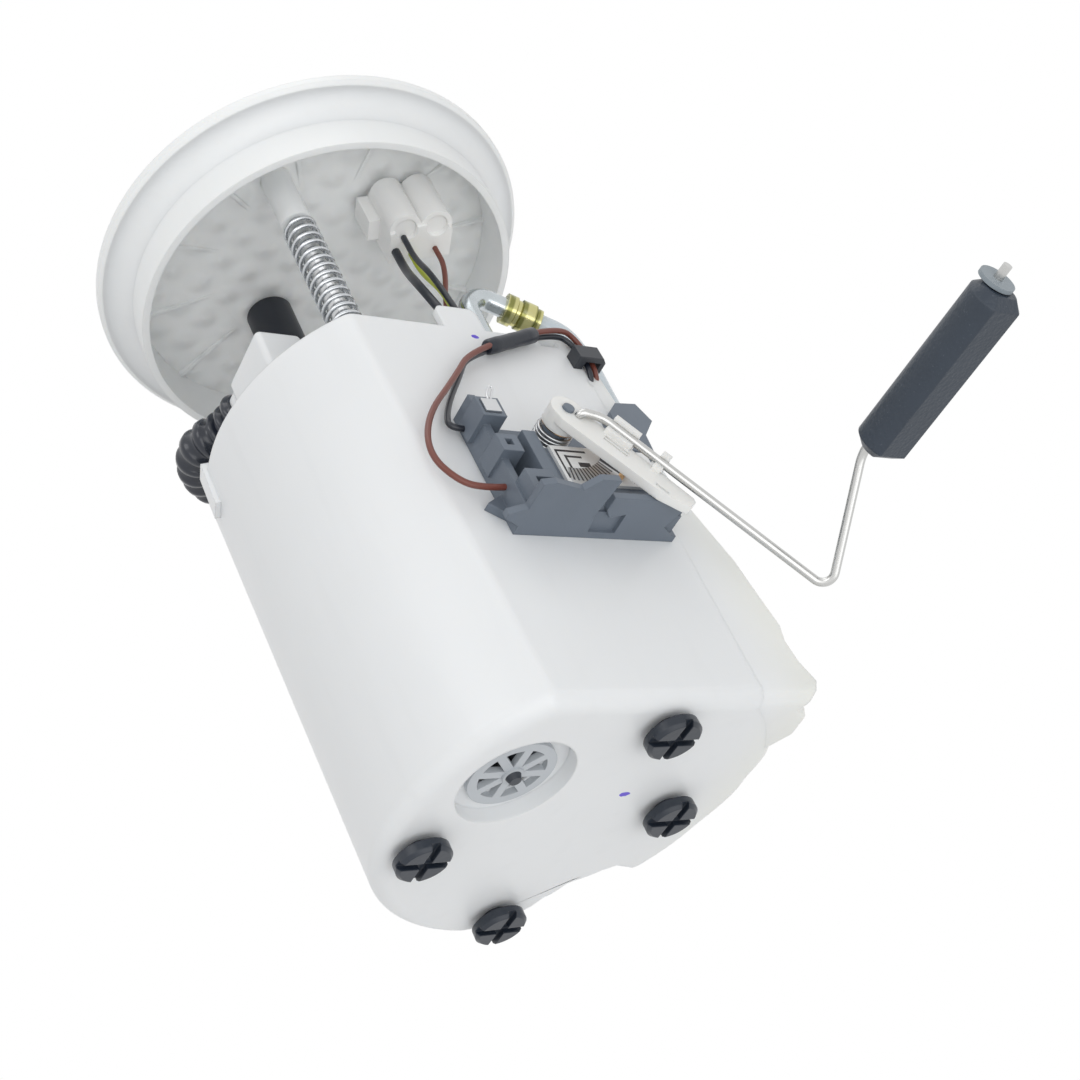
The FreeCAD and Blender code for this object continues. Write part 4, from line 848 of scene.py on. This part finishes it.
@dataclass
class SenderLeads:
    """The two leads that hang from the hook to the sender's terminals."""

    black: list[Point] = field(default_factory=lambda: [
        (34.1, -38.4, -92.5), (34.1, -42.9, -92.5), (34.1, -42.9, -78.6), (27.2, -43.45, -75.34),
        (-6.5, -43.45, -89.7), (-12.0, -43.45, -98.0), (-18.6, -43.5, -107.0), (-23.0, -43.8, -114.4),
        (-24.8, -44.6, -119.4), (-20.9, -44.7, -119.6)])
    brown: list[Point] = field(default_factory=lambda: [
        (36.3, -37.2, -92.5), (36.3, -42.8, -92.5), (36.3, -42.8, -76.6), (28.4, -45.55, -74.83),
        (-6.0, -45.55, -89.49), (-16.5, -45.6, -102.0), (-30.5, -45.7, -117.0), (-36.0, -45.8, -131.0),
        (-31.5, -46.6, -140.5), (-24.6, -46.6, -141.6), (-19.5, -46.6, -141.0)])
    radius: float = 0.0008

    def build(self, finishes: Finishes) -> None:
        """Lay each lead on its route."""
        for name, route in (("black", self.black), ("brown", self.brown)):
            piece = smooth_line("sender_lead_wire_" + name, route, self.radius)
            finishes.dress(piece, name)
            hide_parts("sender_lead_" + name)
            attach(piece, Body.POT.value)
            LOG.info("sender lead %s: %.1f mm", name, piece.data.splines[0].calc_length() / MM)


@dataclass
class PivotSpring:
    """The fine coil about the float arm's pivot."""

    centre: Point = (0.0005, -0.04412, -0.1243)
    radius: float = 0.0044
    wire: float = 0.00042
    pitch: float = 0.00105
    turns: float = 7.0

    def build(self, finishes: Finishes) -> None:
        """Turn the coil and lay its axis along -Y."""
        piece = coil("pivot_spring_wire", self.radius, self.wire, self.pitch, self.turns)
        piece.location = self.centre
        piece.rotation_euler = (math.pi / 2, 0.0, 0.0)
        settle(piece, "pivot_spring_wire")
        finishes.dress(piece, "dark_spring")
        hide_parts("pivot_spring")
        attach(piece, Body.POT.value)
        LOG.info("pivot spring: %d faces", len(piece.data.polygons))


@dataclass
class TerminalLoop:
    """The thin wire loop that stands out of the sender's terminal."""

    spots: list[Point] = field(default_factory=lambda: [
        (-17.2, -52.6, -119.4), (-16.4, -53.9, -116.8), (-15.6, -54.6, -115.2), (-16.6, -54.8, -114.6),
        (-17.6, -53.6, -116.6)])
    wire: float = 0.0003

    def build(self, finishes: Finishes) -> None:
        """Bend the loop from one closed line."""
        piece = as_mesh(smooth_line("terminal_loop", self.spots, self.wire, closed=True))
        finishes.dress(piece, "terminal")
        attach(piece, Body.POT.value)
        LOG.info("terminal loop: %d faces", len(piece.data.polygons))


@dataclass
class PotShell:
    """The pot, drawn in behind its rear and right feet where the real one is cut away."""

    floor: float = -0.201
    full: float = -0.104
    rings: tuple[float, ...] = (-0.197, -0.192, -0.184, -0.172, -0.158, -0.142, -0.125, -0.104)
    wall_from: float = 0.0425
    bow: float = 1.3
    draw: tuple[tuple[float, float], ...] = (
        (-24.0, 0.0), (-10.0, 2.9), (15.0, 6.3), (39.0, 6.6), (43.5, 13.2), (51.0, 14.6), (65.0, 15.2),
        (74.0, 11.6), (82.0, 6.8), (90.0, 2.2), (102.0, 0.0))

    def inset(self, angle: float) -> float:
        """How far the wall is drawn in at an angle in degrees, in millimetres."""
        for (low, first), (high, second) in zip(self.draw, self.draw[1:]):
            if low <= angle < high:
                share = (angle - low) / (high - low)
                return first + (second - first) * share * share * (3 - 2 * share)
        return 0.0

    def build(self, finishes: Finishes, solid: bpy.types.Object) -> None:
        """Copy the solid, cut rings round it and draw its wall in.

        Args:
            finishes: The finishes of the module.
            solid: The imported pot.
        """
        piece = copy_solid(solid, "pot_shell", self.rings)
        for vertex in piece.data.vertices:
            reach = math.hypot(vertex.co.x, vertex.co.y)
            if reach < self.wall_from or vertex.co.z > self.full:
                continue
            share = (self.full - vertex.co.z) / (self.full - self.floor)
            pull = self.inset(math.degrees(math.atan2(vertex.co.y, vertex.co.x))) * MM
            scale = 1.0 - pull * min(share, 1.0) ** self.bow / reach
            vertex.co.x *= scale
            vertex.co.y *= scale
        smooth_sides(piece, SOLID_SMOOTH)
        finishes.dress(piece, "pot")
        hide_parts("reservoir_pot")
        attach(piece, Body.POT.value)
        LOG.info("pot shell: %d faces", len(piece.data.polygons))


@dataclass
class LidShell:
    """The lid with its ribs sunk to a faint cast, and a hollow fillet between rim and skirt."""

    inner: float = 0.0541
    rib_low: float = -0.0012
    ceiling: float = 0.0010
    relief: float = 0.00002
    skirt: float = 0.0561
    fillet: float = 0.0076
    lap: float = 0.0004
    sides: int = 12
    round_steps: int = 120

    def build(self, finishes: Finishes, solid: bpy.types.Object) -> None:
        """Copy the solid, lift its ribs and lay the fillet round it.

        Args:
            finishes: The finishes of the module.
            solid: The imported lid.
        """
        piece = copy_solid(solid, "lid_shell")
        for vertex in piece.data.vertices:
            inside = math.hypot(vertex.co.x, vertex.co.y) < self.inner
            if inside and self.rib_low < vertex.co.z < self.ceiling - self.relief:
                vertex.co.z = self.ceiling - self.relief
        smooth_sides(piece, SOLID_SMOOTH)
        finishes.dress(piece, "lid")
        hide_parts("flange")
        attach(piece, Body.LID.value)
        self.lay_fillet(finishes)
        LOG.info("lid shell: %d faces", len(piece.data.polygons))

    def lay_fillet(self, finishes: Finishes) -> None:
        """Turn the fillet's hollow outline once round the lid."""
        start_fresh()
        bpy.ops.mesh.primitive_circle_add(vertices=self.sides + 2, radius=0.001)
        ring = settle(bpy.context.object, "lid_fillet")
        corners = [(self.skirt, self.lap)]
        for step in range(self.sides + 1):
            turn = math.pi / 2 * step / self.sides
            reach = self.skirt + self.fillet * (1 - math.sin(turn))
            corners.append((reach, -self.fillet * (1 - math.cos(turn))))
        for vertex, (reach, height) in zip(ring.data.vertices, corners):
            vertex.co = (reach, 0.0, height)
        turned = ring.modifiers.new("turned", "SCREW")
        turned.angle = 2 * math.pi
        turned.steps = turned.render_steps = self.round_steps
        turned.use_merge_vertices = True
        apply_modifiers(ring)
        close_shell(ring, smooth=40.0)
        finishes.dress(ring, "rim")
        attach(ring, Body.LID.value)
        LOG.info("lid fillet: %d faces", len(ring.data.polygons))


@dataclass
class SideChannel:
    """The jet pump's moulded channel, flush with the pot's flat wall, with two lugs at its foot."""

    front: float = -41.7
    foot: float = -201.0
    foot_round: float = 4.5
    sunk: float = 0.3
    soft_edge: float = 0.0011
    soft_angle: float = 28.0
    levels: list[tuple[float, list[tuple[float, float]]]] = field(default_factory=lambda: [
        (-200.9, [(44.2, -41.7), (42.6, -36.4), (47.4, -34.0), (48.0, -27.5), (40.0, -19.0)]),
        (-200.3, [(45.8, -41.7), (43.2, -37.2), (48.0, -34.0), (48.3, -27.2), (41.0, -19.4)]),
        (-198.6, [(47.6, -41.7), (44.4, -38.2), (48.8, -34.0), (48.6, -27.0), (42.0, -20.0)]),
        (-196.0, [(48.9, -41.7), (46.8, -38.6), (49.6, -33.8), (49.0, -26.5), (43.0, -20.5)]),
        (-190.0, [(46.9, -41.7), (48.2, -38.4), (50.6, -33.0), (50.0, -24.0), (44.5, -21.0)]),
        (-183.3, [(46.4, -41.7), (49.2, -38.4), (52.0, -32.6), (50.8, -23.5), (44.5, -21.0)]),
        (-178.4, [(47.9, -41.7), (50.6, -38.4), (52.8, -32.2), (51.0, -23.5), (44.5, -21.0)]),
        (-169.0, [(46.9, -41.7), (50.0, -38.2), (52.8, -32.0), (51.0, -23.5), (44.5, -21.0)]),
        (-157.0, [(45.9, -41.7), (49.2, -38.2), (52.6, -31.6), (51.0, -23.5), (45.0, -21.5)]),
        (-146.0, [(43.2, -41.7), (47.4, -38.2), (52.0, -31.0), (50.6, -24.0), (45.0, -22.0)]),
        (-139.0, [(41.6, -41.7), (45.6, -38.4), (50.6, -31.4), (50.0, -25.5), (45.0, -23.0)]),
        (-122.0, [(39.2, -41.7), (42.4, -38.8), (46.2, -34.0), (47.0, -29.5), (43.5, -26.0)]),
        (-104.0, [(38.0, -41.7), (41.0, -39.0), (44.4, -34.6), (45.8, -30.6), (43.0, -27.0)]),
        (-88.5, [(37.4, -41.7), (39.6, -39.6), (42.8, -35.4), (44.4, -31.6), (42.0, -28.0)])])
    inner: list[tuple[float, float]] = field(default_factory=lambda: [
        (31.0, -28.0), (24.0, -40.2), (24.0, -41.4)])

    def wall(self, height: float) -> float:
        """Where the pot's flat wall stands at a height, with its rounded foot."""
        drop = min(max(self.foot_round - (height - self.foot), 0.0), self.foot_round)
        return self.front + self.foot_round - math.sqrt(self.foot_round ** 2 - drop ** 2)

    def shape(self, piece: bpy.types.Object, level: int) -> None:
        """Put the picked ring of corners on one level's outline, behind the wall's rounded foot."""
        height, outline = self.levels[level]
        wall = self.wall(height)
        corners = [vertex for vertex in piece.data.vertices if vertex.select]
        hidden = [(across, max(along, wall + self.sunk)) for across, along in self.inner]
        for vertex, (across, along) in zip(corners, outline + hidden):
            vertex.co = (across * MM, max(along, wall) * MM, height * MM)

    def build(self, finishes: Finishes) -> None:
        """Draw the channel up level by level from its foot and soften its edges."""
        start_fresh()
        count = len(self.levels[0][1]) + len(self.inner)
        bpy.ops.mesh.primitive_circle_add(vertices=count, radius=0.01, fill_type="NGON")
        piece = settle(bpy.context.object, "side_channel")
        self.shape(piece, 0)
        for level in range(1, len(self.levels)):
            bpy.ops.object.mode_set(mode="EDIT")
            bpy.ops.mesh.extrude_region_move(TRANSFORM_OT_translate={"value": (0, 0, 0.005)})
            bpy.ops.object.mode_set(mode="OBJECT")
            self.shape(piece, level)
        soften = piece.modifiers.new("edges", "BEVEL")
        soften.width = self.soft_edge
        soften.segments = 3
        soften.limit_method = "ANGLE"
        soften.angle_limit = math.radians(self.soft_angle)
        apply_modifiers(piece)
        close_shell(piece, smooth=40.0)
        finishes.dress(piece, "pot")
        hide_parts("jet_pump_body")
        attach(piece, Body.POT.value)
        LOG.info("side channel: %d faces", len(piece.data.polygons))


@dataclass
class LeadSleeve:
    """The shrink sleeve that holds the two leads together, waisted between them."""

    start: Point = (19.4, -44.5, -78.66)
    end: Point = (0.6, -44.5, -86.67)
    sides: int = 28
    rings: tuple[tuple[float, float], ...] = (
        (0.0, 1.8), (0.03, 2.15), (0.2, 2.2), (0.35, 2.05), (0.5, 2.15), (0.62, 2.05), (0.8, 2.2),
        (0.97, 2.1), (1.0, 1.75))

    def build(self, finishes: Finishes) -> None:
        """Draw the sleeve out ring by ring along its line."""
        run = (Vector(self.end) - Vector(self.start)) * MM
        start_fresh()
        bpy.ops.mesh.primitive_circle_add(vertices=self.sides, radius=self.rings[0][1] * MM)
        piece = settle(bpy.context.object, "lead_sleeve_shrunk")
        bpy.ops.object.mode_set(mode="EDIT")
        for (before, small), (after, large) in zip(self.rings, self.rings[1:]):
            step = (after - before) * run.length
            bpy.ops.mesh.extrude_region_move(TRANSFORM_OT_translate={"value": (0, 0, step)})
            bpy.ops.transform.resize(value=(large / small, large / small, 1.0))
        bpy.ops.object.mode_set(mode="OBJECT")
        piece.rotation_mode = "QUATERNION"
        piece.rotation_quaternion = run.to_track_quat("Z", "Y")
        piece.location = Vector(self.start) * MM
        settle(piece, "lead_sleeve_shrunk")
        close_shell(piece, smooth=50.0)
        finishes.dress(piece, "sleeve")
        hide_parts("lead_sleeve")
        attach(piece, Body.POT.value)
        LOG.info("lead sleeve: %d faces", len(piece.data.polygons))


# Studio


@dataclass(frozen=True)
class Lamp:
    """A soft square lamp, placed from the camera's own axes, in metres and watts."""

    name: str
    back: float
    side: float
    up: float
    size: float
    power: float


@dataclass
class Studio:
    """The pale floor, the soft lamps and the camera at the photograph's angle."""

    floor_height: float = -0.2065
    floor_size: float = 6.0
    eye: Point = (-0.2453, -0.26705, -0.37777)
    right: Point = (0.8063, -0.4492, -0.3848)
    down: Point = (0.0363, 0.6869, -0.7259)
    ahead: Point = (0.5904, 0.5713, 0.5701)
    lens: float = 56.8
    aim: Point = (0.0, -0.02, -0.10)
    floor_tone: float = 0.86
    daylight: float = 0.60
    backdrop: float = 1.0
    lamps: tuple[Lamp, ...] = (
        Lamp("key", back=0.75, side=-0.75, up=0.65, size=0.55, power=2.0),
        Lamp("front", back=1.1, side=0.1, up=0.1, size=0.9, power=3.2),
        Lamp("fill", back=0.9, side=0.7, up=-0.3, size=0.9, power=2.6),
        Lamp("top", back=-0.2, side=-0.3, up=1.1, size=0.7, power=1.8))

    def camera(self) -> None:
        """Place the camera."""
        data = bpy.data.cameras.new("camera")
        data.sensor_width = 36.0
        data.lens = self.lens
        data.clip_start = 0.01
        data.clip_end = 50.0
        camera = add_object("camera", data)
        axes = (Vector(self.right), -Vector(self.down), -Vector(self.ahead))
        turn = Matrix([[axis[row] for axis in axes] for row in range(3)]).to_4x4()
        camera.matrix_world = Matrix.Translation(Vector(self.eye)) @ turn
        bpy.context.scene.camera = camera

    def hang(self, lamp: Lamp) -> None:
        """Hang a lamp and turn it to the module."""
        data = bpy.data.lights.new(lamp.name, "AREA")
        data.shape = "SQUARE"
        data.size = lamp.size
        data.energy = lamp.power
        light = add_object(lamp.name, data)
        aim = Vector(self.aim)
        spot = aim - Vector(self.ahead) * lamp.back + Vector(self.right) * lamp.side
        spot -= Vector(self.down) * lamp.up
        light.location = spot
        light.rotation_mode = "QUATERNION"
        light.rotation_quaternion = (aim - spot).to_track_quat("-Z", "Y")

    def floor(self) -> None:
        """Lay a pale floor that is only seen from above."""
        start_fresh()
        bpy.ops.mesh.primitive_plane_add(size=self.floor_size, location=(0, 0, self.floor_height))
        floor = settle(bpy.context.object, "floor")
        graph = Graph("pale_floor")
        graph.set("Base Color", (self.floor_tone, self.floor_tone, self.floor_tone, 1.0))
        graph.set("Roughness", 0.9)
        below = graph.add("ShaderNodeNewGeometry", output="Backfacing")
        seen = graph.add("ShaderNodeLightPath", output="Is Camera Ray")
        clear = graph.add("ShaderNodeBsdfTransparent")
        mix = graph.add("ShaderNodeMixShader", inputs={0: below.most(1.0 - seen), 2: clear})
        graph.tree.links.new(graph.shader.outputs[0], mix.socket.node.inputs[1])
        output = graph.tree.nodes["Material Output"]
        graph.tree.links.new(mix.socket, output.inputs["Surface"])
        floor.data.materials.append(graph.material)

    def world(self) -> None:
        """Light everything evenly, and show a white backdrop to camera and reflections."""
        world = bpy.data.worlds.new("studio")
        bpy.context.scene.world = world
        world.use_nodes = True
        tree = world.node_tree
        background = tree.nodes["Background"]
        paths = tree.nodes.new("ShaderNodeLightPath").outputs

        def either(first: bpy.types.NodeSocket, second: bpy.types.NodeSocket) -> bpy.types.NodeSocket:
            """One where either of two outputs is one."""
            node = tree.nodes.new("ShaderNodeMath")
            node.operation = "MAXIMUM"
            tree.links.new(first, node.inputs[0])
            tree.links.new(second, node.inputs[1])
            return node.outputs[0]

        seen = either(paths["Is Camera Ray"], either(paths["Is Transmission Ray"], paths["Is Glossy Ray"]))
        level = tree.nodes.new("ShaderNodeMapRange")
        level.inputs["To Min"].default_value = self.daylight
        level.inputs["To Max"].default_value = self.backdrop
        tree.links.new(seen, level.inputs["Value"])
        tree.links.new(level.outputs[0], background.inputs["Strength"])
        background.inputs["Color"].default_value = (1.0, 1.0, 1.0, 1.0)

    def build(self) -> None:
        """Set the whole studio up."""
        bpy.context.scene.view_settings.view_transform = "Standard"
        self.camera()
        self.floor()
        self.world()
        for lamp in self.lamps:
            self.hang(lamp)


def main() -> None:
    """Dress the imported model, add the finer pieces and set the studio."""
    logging.basicConfig(level=logging.INFO, format="%(message)s")
    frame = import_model()
    finishes = Finishes()
    finishes.dress_nodes(frame["nodes"])
    Studio().build()
    PotShell().build(finishes, frame["nodes"]["reservoir_pot"])
    LidShell().build(finishes, frame["nodes"]["flange"])
    for assembly in (SideChannel(), OutletHose(), GuideSprings(), Harness(), SenderLeads(), LeadSleeve(),
                     PivotSpring(), TerminalLoop()):
        assembly.build(finishes)


if __name__ == "__main__":
    main()
